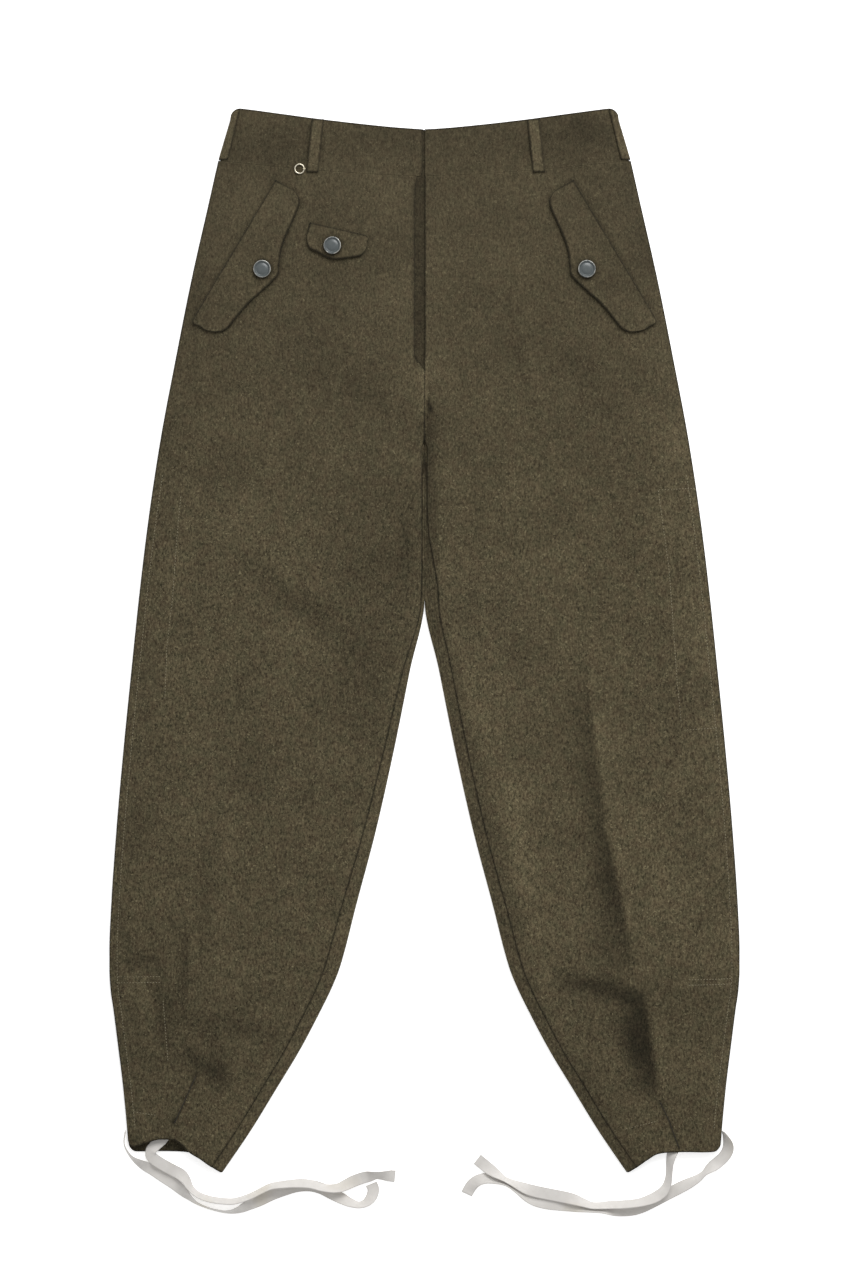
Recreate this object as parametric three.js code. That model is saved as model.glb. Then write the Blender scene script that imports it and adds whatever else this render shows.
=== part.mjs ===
// Paratrooper trousers in wool cloth, lying flat on their back with the front up.
// Millimetres. +X is the wearer's left, +Y runs from the ankles to the waist, +Z is up from the surface
// they lie on. The origin is under the middle of the trousers.
import * as THREE from 'three';

// ---------------------------------------------------------------- driving dimensions

const CLOTH = 2.3; // thickness of the wool cloth with its facings
const SEAM_GAP = 0.3; // clearance between two pieces that are sewn together
const LAYERS = 2 * CLOTH + SEAM_GAP; // front lying on back along an edge
const FOLD_RADIUS = LAYERS / 2; // outer radius where the back turns over the inner edge of a leg
const LINE_ON = 0.65; // how far a piece on a panel stands off the panel's facets

const MIDDLE = -1; // level of the middle of the trousers' length, which is moved to the origin
const WAIST_TOP = 525; // level of the waist's top edge at the centre front
const WAIST_RISE = 22; // how much higher the top edge is near the sides
const WAIST_CURVE = 1.3; // power by which the top edge rises
const CORNER_RADIUS = 9; // radius of the waist's top corners
const SEAM_LEVEL = 477; // level of the waistband seam at the centre front
const SEAM_RISE = 16.5; // how much higher that seam is at the sides
const SEAM_CURVE = 1.6; // power by which that seam rises
const HALF_WAIST = 190; // half width over which the waist's edge rises
const SIDE_INSET = 1.6; // waistband ends short of the outline, under the side loops

const CROTCH = 42; // level at which the legs part
const FORK_TOP = 198; // level above which the panels meet in one centre seam
const FORK_BLEND = 8; // height over which a front's edge goes from the centre seam to the inseam
const FORK_END = 188; // level below which each leg is closed by its own fold
const VALLEY_TOP = 310; // level at which the valley between the legs starts

const FLY_BOTTOM = 292; // lower end of the open fly edge
const FLY_CLOSED = 275; // level at which both fronts meet at the centre again
const FLY_RECESS = 9.8; // how far the right front's edge lies from the centre line
const FLY_EDGE = 0.5; // where the left front's edge lies
const UNDERLAP = { left: 32, right: 13, thickness: 2, bottom: 268, drop: 1, belowTop: 1 };

const HEM_BLEND = 110; // height over which rows bend to follow the hem
const WAIST_BLEND = 90; // height over which rows bend to follow the waistband seam

const SIDES = { left: 1, right: -1 };

const COLOURS = {
  cloth: { color: 0x4a4333, roughness: 0.95, metalness: 0 },
  button: { color: 0x61666a, roughness: 0.45, metalness: 0.6 },
  ring: { color: 0xbab29c, roughness: 0.35, metalness: 0.9 },
  thread: { color: 0xc9bfa4, roughness: 0.9, metalness: 0 },
  tape: { color: 0xd6d2cb, roughness: 0.9, metalness: 0 },
};

// ---------------------------------------------------------------- tables

function table(names, rows) {
  const keys = names.split(' ');
  return rows.map((row) => Object.fromEntries(keys.map((key, k) => [key, row[k]])));
}

// Half outline, the same on both sides: the outer edge and the leg's inner edge at each level.
const OUTLINE = table('y outer inner', [
  [-550, 303, 208.6],
  [-506, 306.4, 178.7],
  [-464, 310.5, 153],
  [-423, 315.7, 128.2],
  [-382, 320.9, 106.6],
  [-361, 323.9, 96.3],
  [-341, 325, 88.1],
  [-320, 325, 81.9],
  [-279, 323.4, 71.6],
  [-197, 317.8, 50],
  [-114, 310.5, 31.4],
  [-32, 302.3, 14.9],
  [42, 294.6, 0],
  [123, 284.8, 0],
  [205, 272.4, 0],
  [287, 257, 0],
  [370, 240.5, 0],
  [452, 222, 0],
  [494, 212.5, 0],
  [547, 199.6, 0],
]);

// Fullness of the front: its rise over the lying layers, and how far from the edges it gets there.
const FULLNESS = table('y puff outerReach innerReach', [
  [-550, 5.8, 28, 28],
  [-464, 6.6, 30, 30],
  [-300, 7.8, 44, 36],
  [-60, 8.2, 48, 26],
  [42, 8.4, 48, 18],
  [190, 8.4, 46, 14],
  [310, 8.4, 46, 20],
  [477, 7.6, 44, 20],
  [550, 7.2, 44, 20],
]);

// Width of back cloth that shows on the front of each leg, from the inner edge to the inseam.
const INSEAM = table('y left right', [
  [-550, 14, 15],
  [-340, 14, 16],
  [-200, 13, 13],
  [-60, 13, 9],
  [42, 15, 4],
  [120, 8, 3.4],
  [200, 3.4, 3.4],
]);

// Level of the hem across a leg. across runs from the outer edge, 0, to the inner edge, 1.
const HEM = table('across flat lifted', [
  [0, -519, -519],
  [0.04, -525, -521.5],
  [0.13, -527, -519.5],
  [0.34, -527, -514.5],
  [0.45, -527, -514],
  [0.58, -528.5, -517.5],
  [0.67, -531, -529],
  [0.78, -536.5, -536],
  [0.88, -542, -542],
  [1, -548.5, -548.5],
]);

// Folds of the front, as ridges (height above 0) and troughs (below 0) from one point to another.
// bend: how far the middle lies to the left of the straight line, width: half width, height: at its middle.
const FOLDS = table('x0 y0 x1 y1 bend width height', [
  [150, -10, 214, -334, 6, 13, 4.2],
  [128, -60, 186, -330, 6, 14, -2.2],
  [140, -346, 238, -392, 16, 12, 2.4],
  [226, -378, 238, -468, 6, 13, -2.2],
  [262, -350, 268, -470, 4, 13, 1.6],
  [78, 462, 142, 97, -4, 7, 1.8],
  [128, 298, 224, 162, 6, 17, -1.6],
  [176, 240, 232, 60, 6, 20, 1.4],
  [-138, 360, -155, 226, 2, 7, 1.6],
  [-180, 72, -76, 0, -10, 16, -2.2],
  [-190, 96, -88, 30, -8, 16, 1.6],
  [-128, 330, -28, 214, -6, 18, -1.6],
  [-184, -40, -224, -370, -4, 11, 2.4],
  [-230, -216, -262, -402, -4, 10, -2.2],
  [-250, -250, -240, -392, 4, 9, 2],
  [-226, -388, -220, -462, 0, 13, -2.2],
  [-212, -398, -130, -378, 8, 14, -1.6],
  [-110, -120, -166, -330, 4, 18, 1.6],
]);

// Hip pocket flap, seen from its sewn edge: along runs down that edge, width out from it.
const HIP_FLAP = table('along width', [
  [-2, 22],
  [0, 28],
  [3, 31.6],
  [9, 34.8],
  [20, 36.4],
  [34, 38],
  [48, 40],
  [61, 43.6],
  [73, 49],
  [80.6, 52.6],
  [90, 50.8],
  [105, 46.4],
  [121, 41.6],
  [137, 38.6],
  [150, 37],
  [158, 34.4],
  [164, 28],
  [168, 17],
]);
const HIP_FLAP_PLACE = { x: 154.2, y: 470.8, downX: 0.512, downY: -0.859, thickness: 2.5 };
const HIP_BUTTON = { along: 84, width: 35.4 };
const FLAP_ACROSS = [0, 0.25, 0.5, 0.75, 0.94, 1]; // columns from a flap's sewn edge to its free edge
const FLAP_EDGE = 0.6; // share of a flap's thickness that is left at its free edges

// Watch pocket flap, in the same way, with its sewn edge at the top.
const WATCH_FLAP = table('along width', [
  [-1.2, 15],
  [1.6, 23],
  [6, 27],
  [13.8, 28.4],
  [21, 30.6],
  [28.5, 32],
  [38.5, 29.8],
  [48, 26.2],
  [56.4, 22.8],
  [60.4, 18],
  [61.6, 10],
]);
const WATCH_FLAP_PLACE = { x: -116.9, y: 428.5, alongX: 0.975, alongY: -0.223, thickness: 2.4 };
const WATCH_BUTTON = { along: 27, width: 18.2 };

const FRONT_LOOP = { topY: 535, bottomY: 480.5, width: 12.4, thickness: 1.4, arch: 1.2 };
const FRONT_LOOP_X = { left: { top: 112, bottom: 117.8 }, right: { top: 109.7, bottom: 115.5 } };
const FRONT_LOOP_ROWS = [0, 0.1, 0.25, 0.4, 0.55, 0.7, 0.85, 1];
const FRONT_LOOP_ACROSS = [-0.5, -0.2, 0.2, 0.5];
const SIDE_LOOP = { width: 9.8, thickness: 1.2, overSeam: 0.5, belowTop: 0.5, round: 0.6, bend: 0.4 };
const SIDE_LOOP_ROWS = [0, 0.2, 0.4, 0.6, 0.8, 1];

const BUTTON = {
  radius: 9,
  height: 3.4,
  rim: 1.5, // width of the raised rim
  round: 0.2, // drop of the rim's inner shoulder
  dish: 1.1, // depth of the face below the rim
  bevel: 1, // slope under the edge
  shankRadius: 3.4,
  shankHeight: 0.9,
  segments: 20,
};
const RING = { x: -128.6, y: 483.9, radius: 4.75, wire: 0.75, around: 24, section: 8 };
const TACK = { width: 1.2, thread: 0.6, segments: 6 };

const TAPE = { width: 12, thickness: 1.2, selvedge: 0.8, floorGap: 0.15, steps: 40 };

// Routes of the ankle tapes, from where each leaves the hem to its free end.
// lift: what it lies on, roll: degrees by which its left edge is turned up.
const ANKLE_TAPES = {
  ankle_tape_right_outer: table('x y lift roll', [
    [-308.2, -507, 0, 84],
    [-309.6, -514, 0, 85],
    [-309.4, -521.2, 0, 83],
    [-306.6, -528, 0, 77],
    [-301.5, -534.6, 0, 68],
    [-292.2, -541.3, 0, 38],
    [-280.4, -547.8, 0, 2],
    [-269.6, -555, 0, -2],
    [-259, -562, 0, 2],
    [-250.4, -568.8, 0, 24],
    [-243.1, -575.2, 0, 52],
    [-234.3, -581.8, 0, 70],
    [-224, -586.2, 0, 74],
    [-213.4, -589.2, 0, 73],
    [-202.8, -590.6, 0, 68],
    [-192.3, -588.8, 0, 50],
    [-181.8, -584.2, 0, 22],
    [-169.4, -579.2, 0, 4],
    [-157.1, -573.4, 0, 0],
    [-144.7, -568.8, 0, 0],
    [-131.3, -565, 0, 0],
    [-117.9, -564.4, 0, 0],
    [-106.6, -567.2, 0, 0],
    [-96.3, -572.2, 0, -6],
    [-86, -577, 0, -24],
    [-76.7, -581.2, 0, -48],
    [-67.5, -583.4, 0, -64],
    [-59.8, -581, 0, -50],
    [-54.6, -575.2, 0, -22],
    [-52.8, -568.2, 0, -6],
    [-55, -562.4, 0, 0],
  ]),
  ankle_tape_right_inner: table('x y lift roll', [
    [-262.6, -500, 2.6, 0],
    [-266.4, -508.6, 2.6, 0],
    [-271, -516, 2.6, 4],
    [-277.2, -521.8, 2.7, 12],
    [-282, -527.4, 2.9, 22],
    [-281.4, -533.6, 3.9, 11],
    [-275.6, -538.6, 4.4, 2],
    [-267.2, -543.8, 3.6, 0],
    [-258.4, -548.6, 3, 0],
    [-251.3, -552.6, 1.4, -16],
    [-246.2, -557.9, 0.2, -42],
    [-242.6, -564.3, 0, -58],
    [-237.9, -569.8, 0, -66],
    [-231.2, -574.2, 0, -66],
    [-220.7, -577.7, 0, -66],
    [-208.2, -579.5, 0, -66],
    [-197.2, -579.8, 0, -66],
    [-186.9, -577.2, 0, -66],
    [-177.2, -573.4, 0, -66],
    [-167.4, -568.4, 0, -66],
    [-158.1, -564.2, 0.6, -64],
    [-147.8, -562.4, 1.8, -60],
    [-137.5, -561.4, 2, -56],
    [-127.2, -561, 2, -50],
    [-116.9, -562, 2, -52],
    [-106.6, -564.9, 2, -56],
    [-97.3, -566.4, 1.8, -54],
    [-88.1, -565.8, 0.8, -44],
    [-80.9, -563.1, 0.2, -28],
    [-73.6, -559.7, 0.4, -12],
    [-65.4, -556.6, 1.7, 0],
    [-58.2, -554.6, 1.7, 12],
    [-50.6, -553.2, 1, 42],
    [-42.7, -553.4, 0.2, 34],
    [-35.4, -554.1, 0, 8],
    [-30.4, -554.6, 0, 0],
  ]),
  ankle_tape_left_outer: table('x y lift roll', [
    [307.8, -507.4, 0, 84],
    [311.2, -514.2, 0, 62],
    [313.4, -521.4, 0, 34],
    [312.6, -528.6, 0, 10],
    [308.4, -535.2, 0, 0],
    [302.6, -540.4, 0, 6],
    [296, -544.9, 0, 34],
    [288.9, -550.2, 0, 68],
    [282.2, -556, 0, 58],
    [273.5, -561.1, 0, 36],
    [264.2, -566, 0, 14],
    [254.9, -571.1, 0, 0],
    [244.6, -576.5, 0, 0],
    [234.5, -581.6, 0, 4],
    [225.1, -586, 0, 8],
    [215.8, -588.9, 0, 8],
    [205.5, -589.9, 0, 8],
    [194.4, -589.4, 0, 30],
    [183.9, -588.6, 0, 60],
    [173.6, -588, 0, 64],
    [163.3, -586.4, 0, 44],
    [151.9, -585, 0, 14],
    [139.6, -584.2, 0, 4],
    [127.2, -582.8, 0, 4],
    [115.9, -580, 0, 14],
    [105.6, -574.9, 0, 34],
    [96.8, -568.9, 0, 58],
    [89.1, -563.9, 0, 70],
    [81.9, -560.3, 0, 68],
    [72.6, -557.2, 0, 44],
    [63.3, -556.4, 0, 32],
    [55.4, -558.4, 0, 24],
    [49.3, -563.2, 0, 10],
    [45.2, -569.6, 0, 0],
    [43.6, -573, 0, 0],
  ]),
  ankle_tape_left_inner: table('x y lift roll', [
    [262.4, -503, 2.6, 0],
    [261, -511.4, 2.6, 0],
    [259, -519.4, 2.6, 6],
    [256.6, -526.6, 2.7, 20],
    [254.3, -533.2, 2.4, 40],
    [252.9, -540.2, 1, 54],
    [252.4, -547.4, 0.4, 60],
    [251.9, -554.8, 0.2, 60],
    [250.4, -562, 0.4, 52],
    [247, -568.6, 1.6, 40],
    [241, -573.8, 1.8, 32],
    [233.2, -577.6, 1.8, 40],
    [223, -580.6, 1.8, 52],
    [212.5, -582.2, 1.8, 54],
    [202, -583, 1.6, 54],
    [192.1, -583.4, 0.6, 56],
    [181.8, -584.2, 0, 62],
    [172.5, -584, 0, 62],
    [163.3, -581.2, 0, 50],
    [153, -577.8, 1.2, 26],
    [140.6, -575.2, 1.7, 6],
    [128.2, -572.8, 1.7, 4],
    [115.9, -570.2, 1.7, 10],
    [105.6, -567.2, 1.4, 28],
    [96.3, -563.4, 0.4, 52],
    [88.1, -559.6, 0, 68],
    [80.9, -555.8, 0, 68],
    [73.6, -551.2, 0.2, 44],
    [66.4, -546.4, 0.4, 16],
    [59.7, -541.2, 0.2, 0],
    [54.4, -537, 0, 0],
  ]),
};

// ---------------------------------------------------------------- grids of the panels

// Levels of the panels' rows, closer together at the fly, the fork and the ankle.
const ROW_LEVELS = [
  477, 456, 432, 408, 384, 360, 336, 314, 292, 275, 255, 235, 215, 206, 198, 188, 170, 145, 115, 85, 60, 42,
  22, -4, -32, -60, -88, -116, -144, -172, -200, -228, -256, -284, -310, -334, -358, -382, -406, -430, -454,
  -478, -502, -526, -550,
];

// Columns of a front: distances from the outer edge, shares of what lies between, distances from the inseam.
const NEAR_EDGE = [0, 3, 9, 18, 31];
const BETWEEN = [0.17, 0.33, 0.5, 0.67, 0.83];
const NEAR_INSEAM = [24, 13, 6, 2, 0];

const BACK_ACROSS = [0, 0.2, 0.4, 0.6, 0.8, 1]; // flat columns of a back
const TURN_ANGLES = [-45, 0, 45, 90]; // degrees round the fold at the inner edge, after -90
const STRIP_ACROSS = [0.5, 1]; // columns of back cloth that shows on the front

const SETTLING_PASSES = 4; // rounds that settle a point's level and its place across

const UNDERLAP_ROWS = [0, 0.07, 0.14, 0.22, 0.4, 0.55, 0.7, 0.8, 1];
const UNDERLAP_ACROSS = [0, 0.16, 0.29, 0.42, 0.58, 0.78, 1];

const BAND_ROWS = [0, 0.33, 0.67, 1];
const BAND_ACROSS = [0, 0.02, 0.06, 0.13, 0.22, 0.36, 0.52, 0.68, 0.84, 1];

// ---------------------------------------------------------------- small maths

const lerp = (a, b, t) => a + (b - a) * t;
const clamp = (t) => Math.min(Math.max(t, 0), 1);
const smooth = (t) => clamp(t) ** 2 * (3 - 2 * clamp(t));
const radians = (degrees) => (degrees * Math.PI) / 180;

// Value of a table's column at a place between its rows, on straight lines.
function between(rows, key, place, column) {
  let k = 1;
  while (k < rows.length - 1 && rows[k][key] < place) {
    k += 1;
  }
  const [low, high] = [rows[k - 1], rows[k]];
  return lerp(low[column], high[column], clamp((place - low[key]) / (high[key] - low[key])));
}

const outerEdge = (y) => between(OUTLINE, 'y', y, 'outer');
const innerEdge = (y) => between(OUTLINE, 'y', y, 'inner');
const risen = (x, half, power) => clamp(Math.abs(x) / half) ** power;
const waistTop = (x) => WAIST_TOP + WAIST_RISE * risen(x, HALF_WAIST, WAIST_CURVE) - cornerDrop(x);
const bandSeam = (x) => SEAM_LEVEL + SEAM_RISE * risen(x, outerEdge(SEAM_LEVEL), SEAM_CURVE);

// The waist's top corners are rounded.
function cornerDrop(x) {
  const into = Math.abs(x) - (outerEdge(WAIST_TOP + WAIST_RISE) - CORNER_RADIUS);
  const along = Math.min(Math.max(into, 0), CORNER_RADIUS);
  return CORNER_RADIUS - Math.sqrt(CORNER_RADIUS ** 2 - along ** 2);
}

// ---------------------------------------------------------------- height of the front

// Rise from an edge to full height: steep at first, level at the end.
const rise = (distance, reach) => 1 - (1 - clamp(distance / reach)) ** 2;

function foldHeight(fold, x, y) {
  const length = Math.hypot(fold.x1 - fold.x0, fold.y1 - fold.y0);
  const [dirX, dirY] = [(fold.x1 - fold.x0) / length, (fold.y1 - fold.y0) / length];
  const along = ((x - fold.x0) * dirX + (y - fold.y0) * dirY) / length;
  if (along <= 0 || along >= 1) {
    return 0;
  }
  const arch = Math.sin(Math.PI * along);
  const across = (y - fold.y0) * dirX - (x - fold.x0) * dirY - fold.bend * arch;
  return fold.height * Math.sqrt(arch) * Math.exp(-((across / fold.width) ** 2));
}

// Height of the front's upper face over the surface the trousers lie on.
function frontHeight(x, y) {
  const far = Math.abs(x);
  const full = (column) => between(FULLNESS, 'y', y, column);
  const fromFork = Math.max(far - innerEdge(y) - FOLD_RADIUS, 0);
  const valley = full('innerReach') * smooth((y - FORK_END) / (VALLEY_TOP - FORK_END));
  const level = rise(outerEdge(y) - far, full('outerReach')) * rise(fromFork + valley, full('innerReach'));
  const folds = FOLDS.reduce((sum, fold) => sum + foldHeight(fold, x, y), 0);
  return LAYERS + level * (full('puff') + folds);
}

// ---------------------------------------------------------------- walls

// A closed wall between two grids of points, rows of equal length.
function wall(outer, inner) {
  const rows = outer.length;
  const columns = outer[0].length;
  const points = [...outer.flat(), ...inner.flat()];
  const back = rows * columns;
  const faces = [];
  const quad = (a, b, c, d) => faces.push([a, b, c], [a, c, d]);
  for (let r = 0; r < rows - 1; r += 1) {
    for (let c = 0; c < columns - 1; c += 1) {
      const at = r * columns + c;
      quad(at, at + 1, at + columns + 1, at + columns);
      quad(back + at, back + at + columns, back + at + columns + 1, back + at + 1);
    }
  }
  const rim = [];
  for (let c = 0; c < columns; c += 1) {
    rim.push(c);
  }
  for (let r = 1; r < rows; r += 1) {
    rim.push(r * columns + columns - 1);
  }
  for (let c = columns - 2; c >= 0; c -= 1) {
    rim.push((rows - 1) * columns + c);
  }
  for (let r = rows - 2; r > 0; r -= 1) {
    rim.push(r * columns);
  }
  rim.forEach((at, k) => {
    const next = rim[(k + 1) % rim.length];
    quad(next, at, back + at, back + next);
  });
  return outwards(points, faces);
}

// Geometry of a closed set of faces, turned over if they point inwards.
function outwards(points, faces) {
  const volume = faces.reduce((sum, [a, b, c]) => {
    const cross = new THREE.Vector3().crossVectors(points[b], points[c]);
    return sum + points[a].dot(cross);
  }, 0);
  const turned = volume > 0 ? faces : faces.map(([a, b, c]) => [a, c, b]);
  const geometry = new THREE.BufferGeometry();
  const positions = points.flatMap((point) => [point.x, point.y, point.z]);
  geometry.setAttribute('position', new THREE.Float32BufferAttribute(positions, 3));
  geometry.setIndex(turned.flat());
  geometry.computeVertexNormals();
  return geometry;
}

const lowered = (grid, depth) => grid.map((row) => row.map((p) => new THREE.Vector3(p.x, p.y, p.z - depth)));

const ON_EDGE = 1e-6; // share of a facet within which a place counts as on its edge

// Height of the highest of some grids over a place in plan, on the same triangles that their walls have.
function heightOn(grids, x, y) {
  let highest = -Infinity;
  const visit = (a, b, c) => {
    const whole = (b.x - a.x) * (c.y - a.y) - (c.x - a.x) * (b.y - a.y);
    const v = ((x - a.x) * (c.y - a.y) - (c.x - a.x) * (y - a.y)) / whole;
    const w = ((b.x - a.x) * (y - a.y) - (x - a.x) * (b.y - a.y)) / whole;
    if (v >= -ON_EDGE && w >= -ON_EDGE && v + w <= 1 + ON_EDGE) {
      highest = Math.max(highest, a.z + v * (b.z - a.z) + w * (c.z - a.z));
    }
  };
  grids.forEach((grid) => {
    for (let r = 0; r < grid.length - 1; r += 1) {
      for (let c = 0; c < grid[0].length - 1; c += 1) {
        visit(grid[r][c], grid[r][c + 1], grid[r + 1][c + 1]);
        visit(grid[r][c], grid[r + 1][c + 1], grid[r + 1][c]);
      }
    }
  });
  return highest === -Infinity ? frontHeight(x, y) : highest;
}

// ---------------------------------------------------------------- panels

const inseamWidth = (y, side) => between(INSEAM, 'y', y, side);

// Level of a row at a place across the leg: rows bend to follow the hem and the waistband seam.
function rowLevel(level, x, hem) {
  const bottom = OUTLINE[0].y;
  const across = (outerEdge(level) - Math.abs(x)) / (outerEdge(level) - innerEdge(level));
  const hemShift = (between(HEM, 'across', across, hem) - bottom) * clamp(1 - (level - bottom) / HEM_BLEND);
  const seamShift = (bandSeam(x) - SEAM_LEVEL) * clamp(1 - (SEAM_LEVEL - level) / WAIST_BLEND);
  return level + hemShift + seamShift;
}

// Level of a point whose distance from the centre line depends on its level.
function settledLevel(level, hem, place) {
  let y = level;
  for (let pass = 0; pass < SETTLING_PASSES; pass += 1) {
    y = rowLevel(level, place(y), hem);
  }
  return y;
}

// Where a front ends toward the middle, as a distance from the centre line.
function frontInner(y, side) {
  const fork = innerEdge(y) + inseamWidth(y, side) + SEAM_GAP;
  const forking = smooth((FORK_TOP + FORK_BLEND - y) / FORK_BLEND);
  const edge = side === 'left' ? FLY_EDGE : FLY_RECESS;
  const fly = lerp(SEAM_GAP / 2, edge, smooth((y - FLY_CLOSED) / (FLY_BOTTOM - FLY_CLOSED)));
  return lerp(fly, fork, forking);
}

function frontGrid(side) {
  const hem = side === 'left' ? 'flat' : 'lifted';
  return ROW_LEVELS.map((level) => {
    const [outer, inner] = [outerEdge(level), frontInner(level, side)];
    const middle = [outer - NEAR_EDGE.at(-1), inner + NEAR_INSEAM[0]];
    const distances = [
      ...NEAR_EDGE.map((distance) => outer - distance),
      ...BETWEEN.map((share) => lerp(...middle, share)),
      ...NEAR_INSEAM.map((distance) => inner + distance),
    ];
    return distances.map((distance) => {
      const share = (distance - inner) / (outer - inner);
      const place = (y) => lerp(frontInner(y, side), outerEdge(y), share);
      const y = settledLevel(level, hem, place);
      const x = SIDES[side] * place(y);
      return new THREE.Vector3(x, y, frontHeight(x, y));
    });
  });
}

// Section of a back at one level, from its outer edge along the surface and over the inner edge, as pairs of
// outer and inner points [x, z], and the same columns where the panel just ends at the centre seam.
function backSection(y, side) {
  const [outer, inner] = [outerEdge(y), Math.max(innerEdge(y), SEAM_GAP / 2)];
  const centre = inner + FOLD_RADIUS;
  const flat = BACK_ACROSS.map((share) => {
    const x = lerp(outer, centre, share);
    return { outer: [x, 0], inner: [x, CLOTH] };
  });
  const turn = TURN_ANGLES.map((angle) => {
    const [cos, sin] = [Math.cos(radians(angle)), Math.sin(radians(angle))];
    const point = (radius) => [centre - radius * cos, FOLD_RADIUS + radius * sin];
    return { outer: point(FOLD_RADIUS), inner: point(SEAM_GAP / 2) };
  });
  const strip = STRIP_ACROSS.map((share) => {
    const x = lerp(centre, inner + inseamWidth(y, side), share);
    const top = frontHeight(x, y);
    return { outer: [x, top], inner: [x, top - CLOTH] };
  });
  const ends = [...turn, ...strip];
  const formed = smooth((FORK_TOP - y) / (FORK_TOP - FORK_END));
  const plain = ends.map((_, k) => ({
    outer: [inner, (CLOTH * (k + 1)) / (ends.length + 1)],
    inner: [lerp(centre, inner, (k + 1) / ends.length), CLOTH],
  }));
  const mix = (a, b) => [lerp(a[0], b[0], formed), lerp(a[1], b[1], formed)];
  const shaped = ends.map((end, k) => ({
    outer: mix(plain[k].outer, end.outer),
    inner: mix(plain[k].inner, end.inner),
  }));
  return [...flat, ...shaped];
}

function backGrids(side) {
  const grids = { outer: [], inner: [] };
  const places = [...backSection(CROTCH, side).keys()];
  ROW_LEVELS.forEach((level) => {
    Object.keys(grids).forEach((face) => {
      const row = places.map((k) => {
        const y = settledLevel(level, 'flat', (at) => backSection(at, side)[k][face][0]);
        const [x, z] = backSection(y, side)[k][face];
        return new THREE.Vector3(SIDES[side] * x, y, z);
      });
      grids[face].push(row);
    });
  });
  return grids;
}

// A length of waistband between two distances from the centre line, on the front's height or lying flat.
function bandGrid(side, inner, height) {
  const [low, high] = [bandSeam(outerEdge(SEAM_LEVEL)), WAIST_TOP + WAIST_RISE];
  return BAND_ROWS.map((up) =>
    BAND_ACROSS.map((share) => {
      const x = SIDES[side] * lerp(outerEdge(lerp(low, high, up)) - SIDE_INSET, inner, share);
      const y = lerp(bandSeam(x) + SEAM_GAP, waistTop(x), up);
      return new THREE.Vector3(x, y, height(x, y));
    })
  );
}

// The back waistband runs from side to side.
function backBandGrid() {
  const half = (side) => bandGrid(side, 0, () => CLOTH);
  const [left, right] = [half('left'), half('right')];
  return left.map((row, r) => [...row.slice(0, -1), ...[...right[r]].reverse()]);
}

function underlapGrid() {
  return UNDERLAP_ROWS.map((up) =>
    UNDERLAP_ACROSS.map((share) => {
      const x = lerp(-UNDERLAP.right, UNDERLAP.left, share);
      const y = lerp(UNDERLAP.bottom, waistTop(x) - UNDERLAP.belowTop, up);
      return new THREE.Vector3(x, y, frontHeight(x, y) - CLOTH - UNDERLAP.drop);
    })
  );
}

// ---------------------------------------------------------------- pieces that lie on the panels

// A flap: rows down its sewn edge, columns out to its free edge, lying on the panel's facets.
function flapWall(rows, place, thickness, under) {
  const lower = rows.map((row) =>
    FLAP_ACROSS.map((share) => {
      const [x, y] = place(row.along, row.width * share);
      return new THREE.Vector3(x, y, heightOn(under, x, y) + LINE_ON);
    })
  );
  const last = FLAP_ACROSS.length - 1;
  const edge = (r, c) => (c === last || r === 0 || r === rows.length - 1 ? FLAP_EDGE : 1);
  const upper = lower.map((row, r) =>
    row.map((p, c) => new THREE.Vector3(p.x, p.y, p.z + thickness * edge(r, c)))
  );
  return wall(upper, lower);
}

function hipFlapPlace(side) {
  const { x, y, downX, downY } = HIP_FLAP_PLACE;
  return (along, width) => [
    SIDES[side] * (x + downX * along + downY * width),
    y + downY * along - downX * width,
  ];
}

function watchFlapPlace(along, width) {
  const { x, y, alongX, alongY } = WATCH_FLAP_PLACE;
  return [x + alongX * along + alongY * width, y + alongY * along - alongX * width];
}

function frontLoopWall(side, under) {
  const { topY, bottomY, width, thickness, arch } = FRONT_LOOP;
  const { top, bottom } = FRONT_LOOP_X[side];
  const lower = FRONT_LOOP_ROWS.map((down) =>
    FRONT_LOOP_ACROSS.map((share) => {
      const x = SIDES[side] * (lerp(top, bottom, down) + share * width);
      const y = lerp(topY, bottomY, down);
      const z = heightOn(under, x, y) + LINE_ON + arch * Math.sin(Math.PI * down);
      return new THREE.Vector3(x, y, z);
    })
  );
  return wall(lowered(lower, -thickness), lower);
}

// A side loop turns over the edge of the waistband: up its side, then in over the front.
function sideLoopWall(side, under) {
  const { width, thickness, overSeam, belowTop, round, bend } = SIDE_LOOP;
  const grids = { outer: [], inner: [] };
  SIDE_LOOP_ROWS.forEach((up) => {
    const y = lerp(SEAM_LEVEL + SEAM_RISE + overSeam, waistTop(outerEdge(WAIST_TOP)) - belowTop, up);
    const edge = outerEdge(y);
    const on = (x) => heightOn(under, SIDES[side] * x, y) + LINE_ON;
    const shoulder = edge - thickness - round;
    const end = edge - width;
    const middle = (shoulder + end) / 2;
    const top = on(shoulder - bend);
    const section = {
      outer: [
        [edge, SEAM_GAP],
        [edge, top],
        [edge - round, top + thickness],
        [middle, on(middle) + thickness],
        [end, on(end) + thickness],
      ],
      inner: [
        [edge - thickness, SEAM_GAP],
        [edge - thickness, top - bend],
        [shoulder, top],
        [middle, on(middle)],
        [end, on(end)],
      ],
    };
    Object.keys(grids).forEach((face) => {
      grids[face].push(section[face].map(([x, z]) => new THREE.Vector3(SIDES[side] * x, y, z)));
    });
  });
  return wall(grids.outer, grids.inner);
}

// ---------------------------------------------------------------- buttons, ring and tack

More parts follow.
